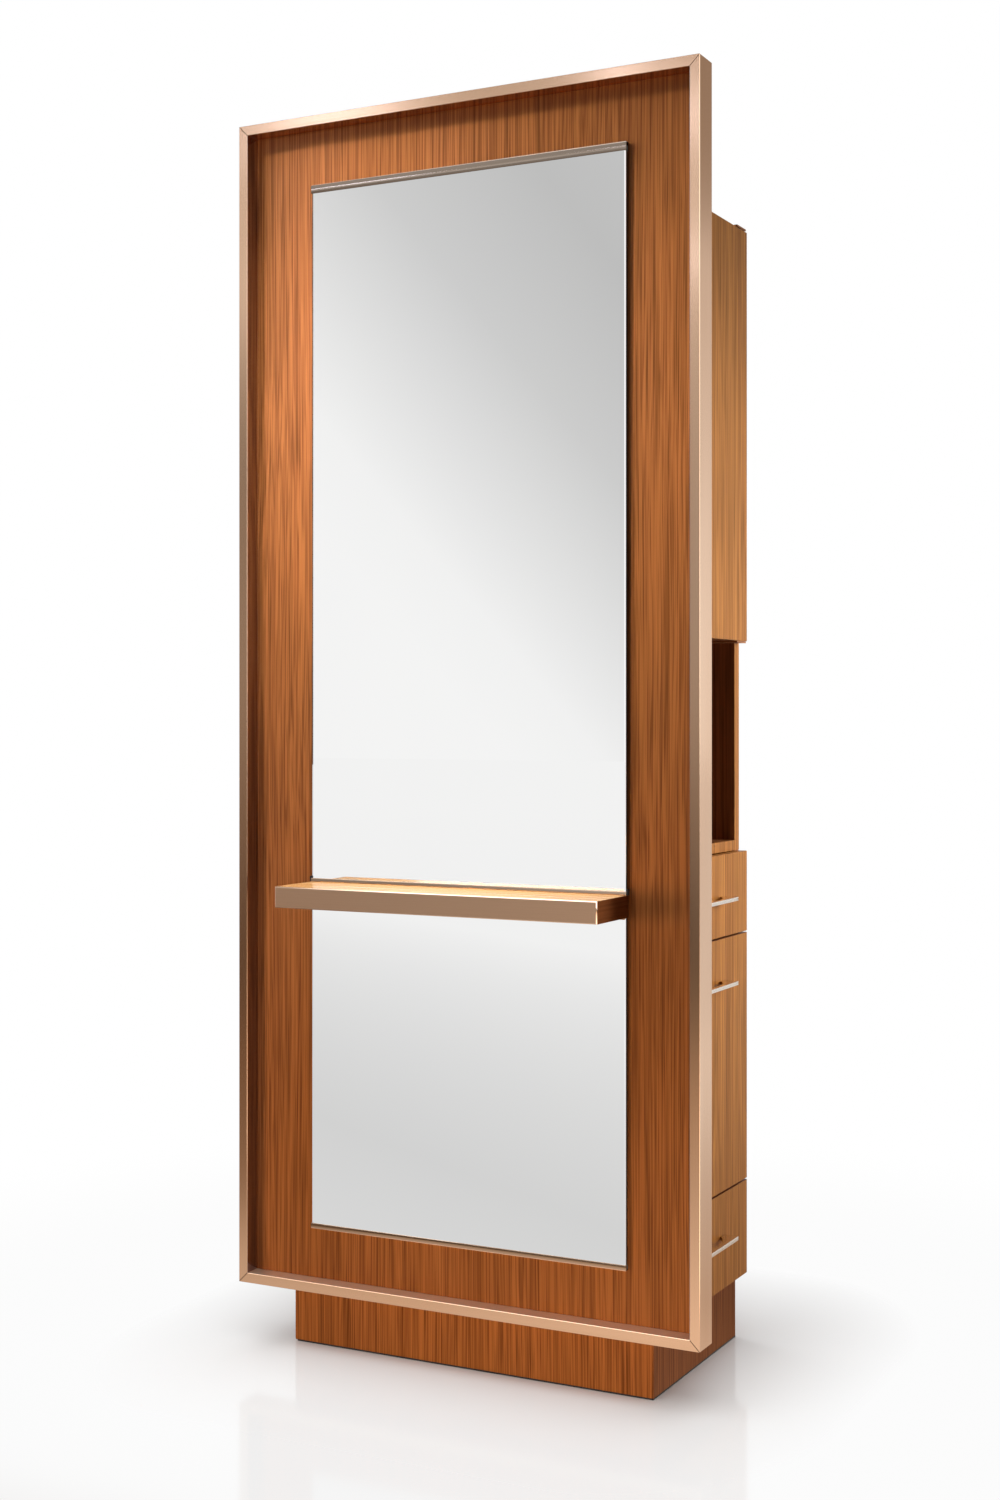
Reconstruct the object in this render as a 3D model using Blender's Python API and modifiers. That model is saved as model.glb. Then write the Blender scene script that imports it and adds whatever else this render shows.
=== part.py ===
"""Salon styling station: a framed mirror panel with a narrow shelf, and a cabinet behind it on a plinth.

Units are metres and +Z is up. The client sits on the -Y side, the cabinet opens to +X, and the wall is
on the +Y side. The origin is on the floor, under the middle of the station's plan.
"""

import math

import bmesh
import bpy
from mathutils import Matrix, Vector

# Clearances and edges
SEAT = 0.0003
RUNNING = 0.0005
CUT_PAST = 0.010
BOARD_EDGE = 0.0008
METAL_EDGE = 0.0005

# Frame: mitred box section round the panel
FRAME_WIDTH = 0.866
FRAME_TOP = 2.134
FRAME_BOTTOM = 0.106
FRAME_FACE = 0.017
FRAME_DEPTH = 0.052
FRAME_WALL = 0.0018
CORNER_KEY_LEG = 0.060
PANEL_THICKNESS = 0.021

# Mirror panes in metal channels
MIRROR_SIDE_MARGIN = 0.135
MIRROR_TOP_MARGIN = 0.1135
MIRROR_BOTTOM_MARGIN = 0.1045
GLASS_THICKNESS = 0.006
GLASS_SIDE_INSET = 0.001
GLASS_LIFT_IN = 0.004
CHANNEL_WALL = 0.001
TOP_CHANNEL_FACE = 0.0145
MID_CHANNEL_FACE = 0.006
BOTTOM_CHANNEL_FACE = 0.009

# Shelf on a concealed bracket
SHELF_TOP = 0.812
SHELF_DEPTH = 0.122
SHELF_THICKNESS = 0.036
SHELF_TRIM_THICKNESS = 0.002
BRACKET_BAR_THICKNESS = 0.006
BRACKET_BAR_COVER = 0.0055
BRACKET_END_COVER = 0.088
PRONG_RADIUS = 0.006
PRONG_INSET = 0.050
PRONG_COVER = 0.030

# Cabinet boards
FRAME_OVERHANG = 0.077
BODY_DEPTH = 0.3735
SIDE_THICKNESS = 0.022
BOARD_THICKNESS = 0.018
SERVICE_VOID = 0.160
NICHE_HEIGHT = 0.350
CABINET_SHELF_RISE = 0.360
CABINET_SHELF_SETBACK = 0.020

# Door and drawer fronts that overlay the cabinet's right edges
FRONT_THICKNESS = 0.016
FRONT_GAP = 0.0015
FRONT_JOINT = 0.003
FRONT_REVEAL = 0.003
REAR_REVEAL = 0.005
BOTTOM_REVEAL = 0.006
NICHE_REVEAL = 0.001
DOOR_TOP_REVEAL = 0.0025
BOTTOM_FRONT_HEIGHT = 0.1645
TOOL_FRONT_HEIGHT = 0.4327
TOP_FRONT_HEIGHT = 0.1408
DOOR_HEIGHT = 0.7205

# Drawer trays, slides and handles
TRAY_WALL = 0.004
TRAY_CORNER = 0.012
TRAY_LIFT = 0.020
BOTTOM_TRAY_HEADROOM = 0.030
TOOL_TRAY_HEADROOM = 0.100
TOP_TRAY_HEADROOM = 0.022
SLIDE_SPACE = 0.013
SLIDE_HEIGHT = 0.045
SLIDE_WALL = 0.0015
SLIDE_LAP = 0.0068
SLIDE_LIFT = 0.015
SLIDE_FRONT_SETBACK = 0.003
SLIDE_REAR_CLEARANCE = 0.045
HANDLE_LENGTH = 0.140
HANDLE_PROJECTION = 0.027
HANDLE_THICKNESS = 0.0065
HANDLE_FOOT = 0.017
HANDLE_BAR = 0.009
HANDLE_CORNER = 0.004
HANDLE_DROP = 0.0745
HANDLE_GROOVE_WIDTH = 0.0013
HANDLE_GROOVE_DEPTH = 0.0008

# Door hinges, catch and wall bracket
PIN_RADIUS = 0.002
PIN_DEPTH = 0.010
PIVOT_FROM_FACE = 0.006
PIVOT_FROM_EDGE = 0.004
HINGE_PLATE = 0.003
HINGE_REACH = 0.050
HINGE_WIDTH = 0.026
HINGE_NOSE = 0.004
CATCH_DEPTH = 0.016
CATCH_LENGTH = 0.046
CATCH_HEIGHT = 0.014
CATCH_INSET = 0.010
WALL_BRACKET_WIDTH = 0.300
WALL_BRACKET_LEG = 0.050
WALL_BRACKET_THICKNESS = 0.003
WALL_SCREW_RADIUS = 0.003
WALL_SCREW_INSET = 0.030

# Plinth and levelling legs
PLINTH_HEIGHT = 0.112
PLINTH_INSET = 0.006
PLINTH_THICKNESS = 0.018
FLOOR_GAP = 0.002
LEG_BASE_RADIUS = 0.030
LEG_BASE_HEIGHT = 0.006
LEG_CONE_HEIGHT = 0.010
LEG_COLUMN_RADIUS = 0.016
LEG_FLANGE_RADIUS = 0.026
LEG_FLANGE_HEIGHT = 0.005
LEG_CLEARANCE = 0.006

# How finely round shapes are cut
ROUND_STEPS = 24
ARC_STEPS = 96
CORNER_STEPS = 4
AXIS_MERGE = 0.00001

# Levels that follow from the sizes above
FRONTS_BOTTOM = PLINTH_HEIGHT + BOTTOM_REVEAL
DRAWERS_TOP = FRONTS_BOTTOM + BOTTOM_FRONT_HEIGHT + TOOL_FRONT_HEIGHT + TOP_FRONT_HEIGHT + 2 * FRONT_JOINT
NICHE_FLOOR_UNDERSIDE = DRAWERS_TOP + NICHE_REVEAL
NICHE_FLOOR_TOP = NICHE_FLOOR_UNDERSIDE + BOARD_THICKNESS
NICHE_CEILING = NICHE_FLOOR_TOP + NICHE_HEIGHT
CABINET_FLOOR = NICHE_CEILING + BOARD_THICKNESS
DOOR_TOP = NICHE_CEILING + DOOR_HEIGHT
CARCASS_TOP = DOOR_TOP + DOOR_TOP_REVEAL
SHELF_UNDERSIDE = SHELF_TOP - SHELF_THICKNESS
MIRROR_TOP = FRAME_TOP - MIRROR_TOP_MARGIN
MIRROR_BOTTOM = FRAME_BOTTOM + MIRROR_BOTTOM_MARGIN

# Planes from the client's side to the wall
SHELF_REACH = SHELF_DEPTH + SEAT - (FRAME_DEPTH - PANEL_THICKNESS)
FRAME_FRONT = SHELF_REACH - (SHELF_REACH + FRAME_DEPTH + BODY_DEPTH) / 2
FRAME_REAR = FRAME_FRONT + FRAME_DEPTH
PANEL_FACE = FRAME_REAR - PANEL_THICKNESS
CHANNEL_BACK = PANEL_FACE - SEAT
GLASS_BACK = CHANNEL_BACK - CHANNEL_WALL - SEAT
GLASS_FRONT = GLASS_BACK - GLASS_THICKNESS
CHANNEL_FRONT = GLASS_FRONT - SEAT - CHANNEL_WALL
SHELF_BACK = PANEL_FACE - SEAT
SHELF_FRONT = SHELF_BACK - SHELF_DEPTH
BODY_FRONT = FRAME_REAR + SEAT
BODY_REAR = FRAME_REAR + BODY_DEPTH
SIDE_FRONT_FACE = BODY_FRONT + SIDE_THICKNESS
SIDE_REAR_FACE = BODY_REAR - SIDE_THICKNESS
INNER_FRONT = SIDE_FRONT_FACE + SEAT
INNER_REAR = SIDE_REAR_FACE - SEAT
FRONTS_NEAR = FRAME_REAR + FRONT_REVEAL
FRONTS_FAR = BODY_REAR - REAR_REVEAL
FRONTS_MIDDLE = (FRONTS_NEAR + FRONTS_FAR) / 2

# Planes from left to right
MIRROR_WIDTH = FRAME_WIDTH - 2 * MIRROR_SIDE_MARGIN
BODY_WIDTH = FRAME_WIDTH - 2 * FRAME_OVERHANG
CARCASS_LEFT = -BODY_WIDTH / 2
FRONT_FACE = BODY_WIDTH / 2
FRONT_BACK = FRONT_FACE - FRONT_THICKNESS
CARCASS_RIGHT = FRONT_BACK - FRONT_GAP
LEFT_PANEL_FACE = CARCASS_LEFT + BOARD_THICKNESS
PARTITION_LEFT = LEFT_PANEL_FACE + SERVICE_VOID
PARTITION_RIGHT = PARTITION_LEFT + BOARD_THICKNESS
SLIDE_REAR = PARTITION_RIGHT + SLIDE_REAR_CLEARANCE
SLIDE_FRONT = CARCASS_RIGHT - SLIDE_FRONT_SETBACK
PIVOT_X = FRONT_FACE - PIVOT_FROM_FACE
PIVOT_Y = FRONTS_FAR - PIVOT_FROM_EDGE


def linear(channel):
    """Turn one sRGB channel from 0-255 into a linear value."""
    value = channel / 255
    return value / 12.92 if value <= 0.04045 else ((value + 0.055) / 1.055) ** 2.4


def finish(name, hex_colour, metallic, roughness):
    """Make a plain material from an sRGB colour."""
    material = bpy.data.materials.new(name)
    material.use_nodes = True
    shader = material.node_tree.nodes["Principled BSDF"]
    channels = [int(hex_colour[i:i + 2], 16) for i in (0, 2, 4)]
    colour = (*[linear(channel) for channel in channels], 1.0)
    shader.inputs["Base Color"].default_value = colour
    shader.inputs["Metallic"].default_value = metallic
    shader.inputs["Roughness"].default_value = roughness
    material.diffuse_color = colour
    return material


def make_collection(name):
    """Add an empty collection to the scene."""
    collection = bpy.data.collections.new(name)
    bpy.context.scene.collection.children.link(collection)
    return collection


def add_piece(name, mesh, material, location, parent=None):
    """Place a mesh as a named piece of the station, at a point given in the station's frame."""
    piece = bpy.data.objects.new(name, mesh)
    mesh.materials.append(material)
    piece.parent = parent
    piece.location = Vector(location) - (parent.location if parent else Vector())
    STATION.objects.link(piece)
    return piece


def add_cutter(name, mesh, location):
    """Place a mesh that only shapes other pieces."""
    cutter = bpy.data.objects.new(name, mesh)
    cutter.location = location
    cutter.hide_render = True
    cutter.display_type = "WIRE"
    CUTTERS.objects.link(cutter)
    return cutter


def combine(piece, tool, operation="DIFFERENCE"):
    """Cut a piece with a tool, or join the tool to it."""
    modifier = piece.modifiers.new(operation.lower(), "BOOLEAN")
    modifier.operation = operation
    modifier.solver = "EXACT"
    modifier.object = tool


def ease_edges(piece, width):
    """Break a piece's sharp edges by a small flat."""
    modifier = piece.modifiers.new("eased_edges", "BEVEL")
    modifier.width = width
    modifier.segments = 1
    modifier.limit_method = "ANGLE"


def box_mesh(name, size, corner=0.0, keeps_square=None):
    """Make a box round its middle. Its upright edges can be rounded, except those on the square side."""
    mesh = bpy.data.meshes.new(name)
    solid = bmesh.new()
    bmesh.ops.create_cube(solid, size=1.0, matrix=Matrix.Diagonal((*size, 1.0)))
    if corner:
        upright = [e for e in solid.edges if abs(e.verts[0].co.z - e.verts[1].co.z) > size.z / 2]
        if keeps_square:
            upright = [e for e in upright if keeps_square.dot(e.verts[0].co) < 0]
        bmesh.ops.bevel(solid, geom=upright, offset=corner, segments=CORNER_STEPS, profile=0.5,
                        affect="EDGES", offset_type="OFFSET", clamp_overlap=True)
    solid.to_mesh(mesh)
    solid.free()
    return mesh


def rod_mesh(name, radius, length, steps=ROUND_STEPS):
    """Make a solid rod along Z, round its middle."""
    mesh = bpy.data.meshes.new(name)
    solid = bmesh.new()
    bmesh.ops.create_cone(solid, cap_ends=True, segments=steps, radius1=radius, radius2=radius, depth=length)
    solid.to_mesh(mesh)
    solid.free()
    return mesh


def board(name, low, high, material, parent=None, edge=BOARD_EDGE):
    """Make a straight board between two corners, with eased edges."""
    low, high = Vector(low), Vector(high)
    piece = add_piece(name, box_mesh(name, high - low), material, (low + high) / 2, parent)
    ease_edges(piece, edge)
    return piece


def box_tool(name, low, high, corner=0.0):
    """Make a box-shaped cutter between two corners."""
    low, high = Vector(low), Vector(high)
    return add_cutter(name, box_mesh(name, high - low, corner), (low + high) / 2)


def rod_tool(name, radius, start, end, steps=ROUND_STEPS):
    """Make a rod-shaped cutter between two points."""
    start, end = Vector(start), Vector(end)
    tool = add_cutter(name, rod_mesh(name, radius, (end - start).length, steps), (start + end) / 2)
    tool.rotation_euler = (end - start).to_track_quat("Z", "Y").to_euler()
    return tool


def mitred_bar(name, length, face, depth, material, edge):
    """Make a bar along X with 45 degree ends. Its long outer face is at z=0 and it reaches down by face."""
    mesh = box_mesh(name, Vector((length, depth, face)))
    shortening = SEAT / math.sqrt(2)
    for vertex in mesh.vertices:
        reach = length / 2 - shortening - (face if vertex.co.z < 0 else 0.0)
        vertex.co.x = math.copysign(reach, vertex.co.x)
        vertex.co.y += depth / 2
        vertex.co.z -= face / 2
    bar = add_piece(name, mesh, material, (0, 0, 0))
    ease_edges(bar, edge)
    return bar


def build_frame(metal, key_metal):
    """Make the four hollow frame members and the keys that hold their mitres."""
    middle = (FRAME_TOP + FRAME_BOTTOM) / 2
    height = FRAME_TOP - FRAME_BOTTOM
    members = (
        ("frame_top_rail", FRAME_WIDTH, 0, (0, FRAME_FRONT, FRAME_TOP)),
        ("frame_right_stile", height, 90, (FRAME_WIDTH / 2, FRAME_FRONT, middle)),
        ("frame_bottom_rail", FRAME_WIDTH, 180, (0, FRAME_FRONT, FRAME_BOTTOM)),
        ("frame_left_stile", height, -90, (-FRAME_WIDTH / 2, FRAME_FRONT, middle)),
    )
    for name, length, turn, location in members:
        bar = mitred_bar(name, length, FRAME_FACE, FRAME_DEPTH, metal, METAL_EDGE)
        bar.location = location
        bar.rotation_euler = (0, math.radians(turn), 0)
        hollow = box_tool(name + "_hollow",
                          (-length, FRAME_WALL, FRAME_WALL - FRAME_FACE),
                          (length, FRAME_DEPTH - FRAME_WALL, -FRAME_WALL))
        hollow.parent = bar
        combine(bar, hollow)
    for vertical, z_edge, z_way in (("top", FRAME_TOP, -1), ("bottom", FRAME_BOTTOM, 1)):
        for side, x_way in (("left", 1), ("right", -1)):
            build_corner_key(f"corner_key_{vertical}_{side}", x_way, z_edge, z_way, key_metal)


def build_corner_key(name, x_way, z_edge, z_way, metal):
    """Make an L-shaped key whose legs run inside the two members that meet at a corner."""
    skin = FRAME_WALL + SEAT
    thick = FRAME_FACE - 2 * skin
    near, far = FRAME_FRONT + skin, FRAME_REAR - skin
    x_start = x_way * (skin - FRAME_WIDTH / 2)
    z_start = z_edge + z_way * skin

    def leg(x_length, z_length):
        xs = sorted((x_start, x_start + x_way * x_length))
        zs = sorted((z_start, z_start + z_way * z_length))
        return (xs[0], near, zs[0]), (xs[1], far, zs[1])

    low, high = leg(CORNER_KEY_LEG, thick)
    key = add_piece(name, box_mesh(name, Vector(high) - Vector(low)), metal, (Vector(low) + Vector(high)) / 2)
    combine(key, box_tool(name + "_leg", *leg(thick, CORNER_KEY_LEG)), "UNION")


def build_panel(veneer):
    """Make the veneered panel that fills the frame, flush with its back."""
    half = FRAME_WIDTH / 2 - FRAME_FACE - SEAT
    inset = FRAME_FACE + SEAT
    board("mirror_panel", (-half, PANEL_FACE, FRAME_BOTTOM + inset), (half, FRAME_REAR, FRAME_TOP - inset), veneer)


def build_channel(name, low_z, high_z, opens_up, metal):
    """Make a U channel across the mirror's width, with its slot up or down."""
    half = MIRROR_WIDTH / 2
    channel = board(name, (-half, CHANNEL_FRONT, low_z), (half, CHANNEL_BACK, high_z), metal, edge=CHANNEL_WALL / 4)
    slot_low = low_z + CHANNEL_WALL if opens_up else low_z - CUT_PAST
    slot_high = high_z + CUT_PAST if opens_up else high_z - CHANNEL_WALL
    combine(channel, box_tool(name + "_slot",
                              (-half - CUT_PAST, GLASS_FRONT - SEAT, slot_low),
                              (half + CUT_PAST, GLASS_BACK + SEAT, slot_high)))


def build_mirrors(glass, metal):
    """Make the upper and lower panes and the three channels that hold them."""
    half = MIRROR_WIDTH / 2 - GLASS_SIDE_INSET
    mid_bottom = SHELF_TOP + SEAT
    build_channel("mirror_top_channel", MIRROR_TOP - TOP_CHANNEL_FACE, MIRROR_TOP, False, metal)
    build_channel("mirror_mid_channel", mid_bottom, mid_bottom + MID_CHANNEL_FACE, True, metal)
    build_channel("mirror_bottom_channel", MIRROR_BOTTOM, MIRROR_BOTTOM + BOTTOM_CHANNEL_FACE, True, metal)
    sill = CHANNEL_WALL + SEAT
    panes = (
        ("upper_mirror", mid_bottom + sill, MIRROR_TOP - CHANNEL_WALL - GLASS_LIFT_IN),
        ("lower_mirror", MIRROR_BOTTOM + sill, SHELF_UNDERSIDE - SEAT),
    )
    for name, low_z, high_z in panes:
        board(name, (-half, GLASS_FRONT, low_z), (half, GLASS_BACK, high_z), glass, edge=METAL_EDGE)


def build_shelf(veneer, metal, steel):
    """Make the shelf, its front band and the bracket whose prongs carry it."""
    half = MIRROR_WIDTH / 2
    trim_back = SHELF_FRONT + SHELF_TRIM_THICKNESS
    shelf = board("shelf_board", (-half, trim_back + SEAT, SHELF_UNDERSIDE), (half, SHELF_BACK, SHELF_TOP), veneer)
    board("shelf_front_trim", (-half, SHELF_FRONT, SHELF_UNDERSIDE), (half, trim_back, SHELF_TOP), metal,
          edge=METAL_EDGE)

    bar_half = half - BRACKET_END_COVER
    bar_low, bar_high = SHELF_UNDERSIDE + BRACKET_BAR_COVER, SHELF_TOP - BRACKET_BAR_COVER
    bar_front = SHELF_BACK - BRACKET_BAR_THICKNESS
    prong_z = (bar_low + bar_high) / 2
    prong_tip = trim_back + PRONG_COVER
    bracket = board("shelf_bracket", (-bar_half, bar_front, bar_low), (bar_half, SHELF_BACK, bar_high), steel,
                    edge=METAL_EDGE)
    combine(shelf, box_tool("shelf_bracket_groove",
                            (-bar_half - SEAT, bar_front - SEAT, bar_low - SEAT),
                            (bar_half + SEAT, SHELF_BACK + CUT_PAST, bar_high + SEAT)))
    for side, x in (("left", PRONG_INSET - bar_half), ("right", bar_half - PRONG_INSET)):
        root = (x, (bar_front + SHELF_BACK) / 2, prong_z)
        prong = rod_tool(f"shelf_prong_{side}", PRONG_RADIUS, root, (x, prong_tip, prong_z))
        combine(bracket, prong, "UNION")
        bore = rod_tool(f"shelf_bore_{side}", PRONG_RADIUS + SEAT, root, (x, prong_tip - SEAT, prong_z))
        combine(shelf, bore)


def build_carcass(wood):
    """Make the cabinet's boards: two sides, left panel, top, bottom, partition and the shelves between."""
    across = (INNER_FRONT, INNER_REAR)
    inside_left = LEFT_PANEL_FACE + SEAT
    bay_left = PARTITION_RIGHT + SEAT
    bottom_top = PLINTH_HEIGHT + BOARD_THICKNESS
    top_underside = CARCASS_TOP - BOARD_THICKNESS
    shelf_low = CABINET_FLOOR + CABINET_SHELF_RISE
    upright = (PLINTH_HEIGHT, CARCASS_TOP)
    boards = (
        ("carcass_front_side", (CARCASS_LEFT, CARCASS_RIGHT), (BODY_FRONT, SIDE_FRONT_FACE), upright),
        ("carcass_rear_side", (CARCASS_LEFT, CARCASS_RIGHT), (SIDE_REAR_FACE, BODY_REAR), upright),
        ("carcass_left_panel", (CARCASS_LEFT, LEFT_PANEL_FACE), across, upright),
        ("carcass_bottom", (inside_left, CARCASS_RIGHT), across, (PLINTH_HEIGHT, bottom_top)),
        ("carcass_top", (inside_left, CARCASS_RIGHT), across, (top_underside, CARCASS_TOP)),
        ("centre_partition", (PARTITION_LEFT, PARTITION_RIGHT), across, (bottom_top + SEAT, top_underside - SEAT)),
        ("niche_floor", (bay_left, CARCASS_RIGHT), across, (NICHE_FLOOR_UNDERSIDE, NICHE_FLOOR_TOP)),
        ("niche_top", (bay_left, CARCASS_RIGHT), across, (NICHE_CEILING, CABINET_FLOOR)),
        ("cabinet_shelf", (bay_left, CARCASS_RIGHT - CABINET_SHELF_SETBACK), across,
         (shelf_low, shelf_low + BOARD_THICKNESS)),
    )
    for name, xs, ys, zs in boards:
        board(name, (xs[0], ys[0], zs[0]), (xs[1], ys[1], zs[1]), wood)


def build_plinth(veneer):
    """Make the plinth's four mitred boards, clear of the floor."""
    left, right = CARCASS_LEFT + PLINTH_INSET, CARCASS_RIGHT - PLINTH_INSET
    middle = ((left + right) / 2, (BODY_FRONT + BODY_REAR) / 2)
    width, depth = right - left, BODY_REAR - BODY_FRONT
    height = PLINTH_HEIGHT - SEAT - FLOOR_GAP
    boards = (
        ("plinth_front", width, 0, (middle[0], BODY_FRONT)),
        ("plinth_right", depth, 90, (right, middle[1])),
        ("plinth_rear", width, 180, (middle[0], BODY_REAR)),
        ("plinth_left", depth, 270, (left, middle[1])),
    )
    for name, length, turn, place in boards:
        plinth = mitred_bar(name, length, PLINTH_THICKNESS, height, veneer, BOARD_EDGE)
        plinth.location = (*place, FLOOR_GAP)
        plinth.rotation_euler = (math.radians(90), 0, math.radians(turn))


def leg_mesh(name):
    """Draw half of a levelling leg's outline, from its top middle down its outer side to the floor."""
    top = PLINTH_HEIGHT - SEAT
    cone_top = LEG_BASE_HEIGHT + LEG_CONE_HEIGHT
    outline = (
        (0, top),
        (LEG_FLANGE_RADIUS, top),
        (LEG_FLANGE_RADIUS, top - LEG_FLANGE_HEIGHT),
        (LEG_COLUMN_RADIUS, top - LEG_FLANGE_HEIGHT),
        (LEG_COLUMN_RADIUS, cone_top),
        (LEG_BASE_RADIUS, LEG_BASE_HEIGHT),
        (LEG_BASE_RADIUS, 0),
        (0, 0),
    )
    mesh = bpy.data.meshes.new(name)
    points = [(radius, 0, z) for radius, z in outline]
    mesh.from_pydata(points, [(i, i + 1) for i in range(len(points) - 1)], [])
    return mesh


def build_legs(plastic):
    """Make a turned levelling leg inside each corner of the plinth."""
    inset = PLINTH_THICKNESS + LEG_CLEARANCE + LEG_BASE_RADIUS
    xs = (("left", CARCASS_LEFT + PLINTH_INSET + inset), ("right", CARCASS_RIGHT - PLINTH_INSET - inset))
    ys = (("front", BODY_FRONT + inset), ("rear", BODY_REAR - inset))
    for end, y in ys:
        for side, x in xs:
            name = f"levelling_leg_{end}_{side}"
            leg = add_piece(name, leg_mesh(name), plastic, (x, y, 0))
            turning = leg.modifiers.new("turning", "SCREW")
            turning.steps = ROUND_STEPS
            turning.render_steps = ROUND_STEPS
            turning.use_merge_vertices = True
            turning.merge_threshold = AXIS_MERGE
            turning.use_smooth_shade = False


def build_handle(name, front_top, metal, parent):
    """Make a flat pull: a grooved straight outer bar whose inner side is hollowed to an arc for the fingers."""
    back = FRONT_FACE + SEAT
    middle_z = front_top - HANDLE_DROP
    size = Vector((HANDLE_PROJECTION, HANDLE_LENGTH, HANDLE_THICKNESS))
    location = (back + HANDLE_PROJECTION / 2, FRONTS_MIDDLE, middle_z)
    plate = box_mesh(name, size, HANDLE_CORNER, Vector((-1, 0, 0)))
    handle = add_piece(name, plate, metal, location, parent)
    half_chord = HANDLE_LENGTH / 2 - HANDLE_FOOT
    rise = HANDLE_PROJECTION - HANDLE_BAR
    radius = (half_chord ** 2 + rise ** 2) / (2 * rise)
    arc_x = back + rise - radius
    combine(handle, rod_tool(name + "_finger_arc", radius,
                             (arc_x, FRONTS_MIDDLE, middle_z - HANDLE_THICKNESS - CUT_PAST),
                             (arc_x, FRONTS_MIDDLE, middle_z + HANDLE_THICKNESS + CUT_PAST), ARC_STEPS))
    outer = back + HANDLE_PROJECTION
    combine(handle, box_tool(name + "_groove",
                             (outer - HANDLE_GROOVE_DEPTH, FRONTS_MIDDLE - HANDLE_LENGTH,
                              middle_z - HANDLE_GROOVE_WIDTH / 2),
                             (outer + CUT_PAST, FRONTS_MIDDLE + HANDLE_LENGTH,
                              middle_z + HANDLE_GROOVE_WIDTH / 2)))


def build_slide_member(name, web_y, open_way, depth, low_z, high_z, steel, parent=None):
    """Make a C-shaped slide member. Its web stands at web_y and its flanges reach towards open_way."""
    tip = web_y + open_way * depth
    web_face = web_y + open_way * SLIDE_WALL
    near, far = sorted((web_y, tip))
    hollow_near, hollow_far = sorted((web_face, tip + open_way * CUT_PAST))
    member = board(name, (SLIDE_REAR, near, low_z), (SLIDE_FRONT, far, high_z), steel, parent, edge=SLIDE_WALL / 4)
    combine(member, box_tool(name + "_hollow",
                             (SLIDE_REAR - CUT_PAST, hollow_near, low_z + SLIDE_WALL),
                             (SLIDE_FRONT + CUT_PAST, hollow_far, high_z - SLIDE_WALL)))


def build_slides(name, tray_low, steel, parent):
    """Make the cabinet and drawer members of both slides of one drawer, nested with a running gap."""
    low = tray_low + SLIDE_LIFT
    high = low + SLIDE_HEIGHT
    nest = SLIDE_WALL + RUNNING
    depth = SLIDE_SPACE / 2 - SEAT + SLIDE_LAP / 2
    for side, face, way in (("near", SIDE_FRONT_FACE, 1), ("far", SIDE_REAR_FACE, -1)):
        cabinet_web = face + way * SEAT
        drawer_web = face + way * (SLIDE_SPACE - SEAT)
        build_slide_member(f"{name}_cabinet_slide_{side}", cabinet_web, way, depth, low, high, steel)
        build_slide_member(f"{name}_drawer_slide_{side}", drawer_web, -way, depth, low + nest, high - nest, steel,
                           parent)


def build_tray(name, low_z, high_z, plastic, parent):
    """Make a one-piece drawer tray with rounded corners, open at the top."""
    low = Vector((SLIDE_REAR, SIDE_FRONT_FACE + SLIDE_SPACE, low_z))
    high = Vector((FRONT_BACK - SEAT, SIDE_REAR_FACE - SLIDE_SPACE, high_z))
    tray = add_piece(name, box_mesh(name, high - low, TRAY_CORNER), plastic, (low + high) / 2, parent)
    wall = Vector((TRAY_WALL, TRAY_WALL, 0))
    combine(tray, box_tool(name + "_inside",
                           low + wall + Vector((0, 0, TRAY_WALL)),
                           high - wall + Vector((0, 0, CUT_PAST)), TRAY_CORNER - TRAY_WALL))


def joint_empty(name, location):
    """Mark a joint's axis with an empty that carries the moving pieces."""
    empty = bpy.data.objects.new(name, None)
    empty.location = location
    STATION.objects.link(empty)
    return empty


def build_drawer(name, front_low, front_height, headroom, finishes):
    """Make one drawer: its front, handle, tray and both pairs of slide members."""
    front_high = front_low + front_height
    tray_low = front_low + TRAY_LIFT
    axis = joint_empty(name + "_axis", (FRONT_BACK, FRONTS_MIDDLE, tray_low))
    board(name + "_front", (FRONT_BACK, FRONTS_NEAR, front_low), (FRONT_FACE, FRONTS_FAR, front_high),
          finishes["front"], axis)
    build_handle(name + "_handle", front_high, finishes["handle"], axis)
    build_tray(name + "_tray", tray_low, front_high - headroom, finishes["tray"], axis)
    build_slides(name, tray_low, finishes["steel"], axis)


def build_drawers(finishes):
    """Stack the three drawers from the plinth up, with an even joint between their fronts."""
    drawers = (
        ("bottom_drawer", BOTTOM_FRONT_HEIGHT, BOTTOM_TRAY_HEADROOM),
        ("tool_drawer", TOOL_FRONT_HEIGHT, TOOL_TRAY_HEADROOM),
        ("top_drawer", TOP_FRONT_HEIGHT, TOP_TRAY_HEADROOM),
    )
    front_low = FRONTS_BOTTOM
    for name, front_height, headroom in drawers:
        build_drawer(name, front_low, front_height, headroom, finishes)
        front_low += front_height + FRONT_JOINT


def build_pivot_bracket(name, seat_z, up, pin_end, steel):
    """Make an L-shaped hinge plate on a board, with a pin that reaches into the door's edge."""
    plate = sorted((seat_z, seat_z - up * HINGE_PLATE))
    reach = CARCASS_RIGHT - HINGE_REACH
    nose = PIVOT_X + HINGE_NOSE
    near = INNER_REAR - HINGE_WIDTH
    bracket = board(name, (reach, near, plate[0]), (nose, INNER_REAR, plate[1]), steel, edge=METAL_EDGE)
    arm = box_tool(name + "_arm", (CARCASS_RIGHT + RUNNING, near, plate[0]), (nose, PIVOT_Y + HINGE_NOSE, plate[1]))
    combine(bracket, arm, "UNION")
    pin = rod_tool(name + "_pin", PIN_RADIUS, (PIVOT_X, PIVOT_Y, sum(plate) / 2), (PIVOT_X, PIVOT_Y, pin_end))
    combine(bracket, pin, "UNION")


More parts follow.
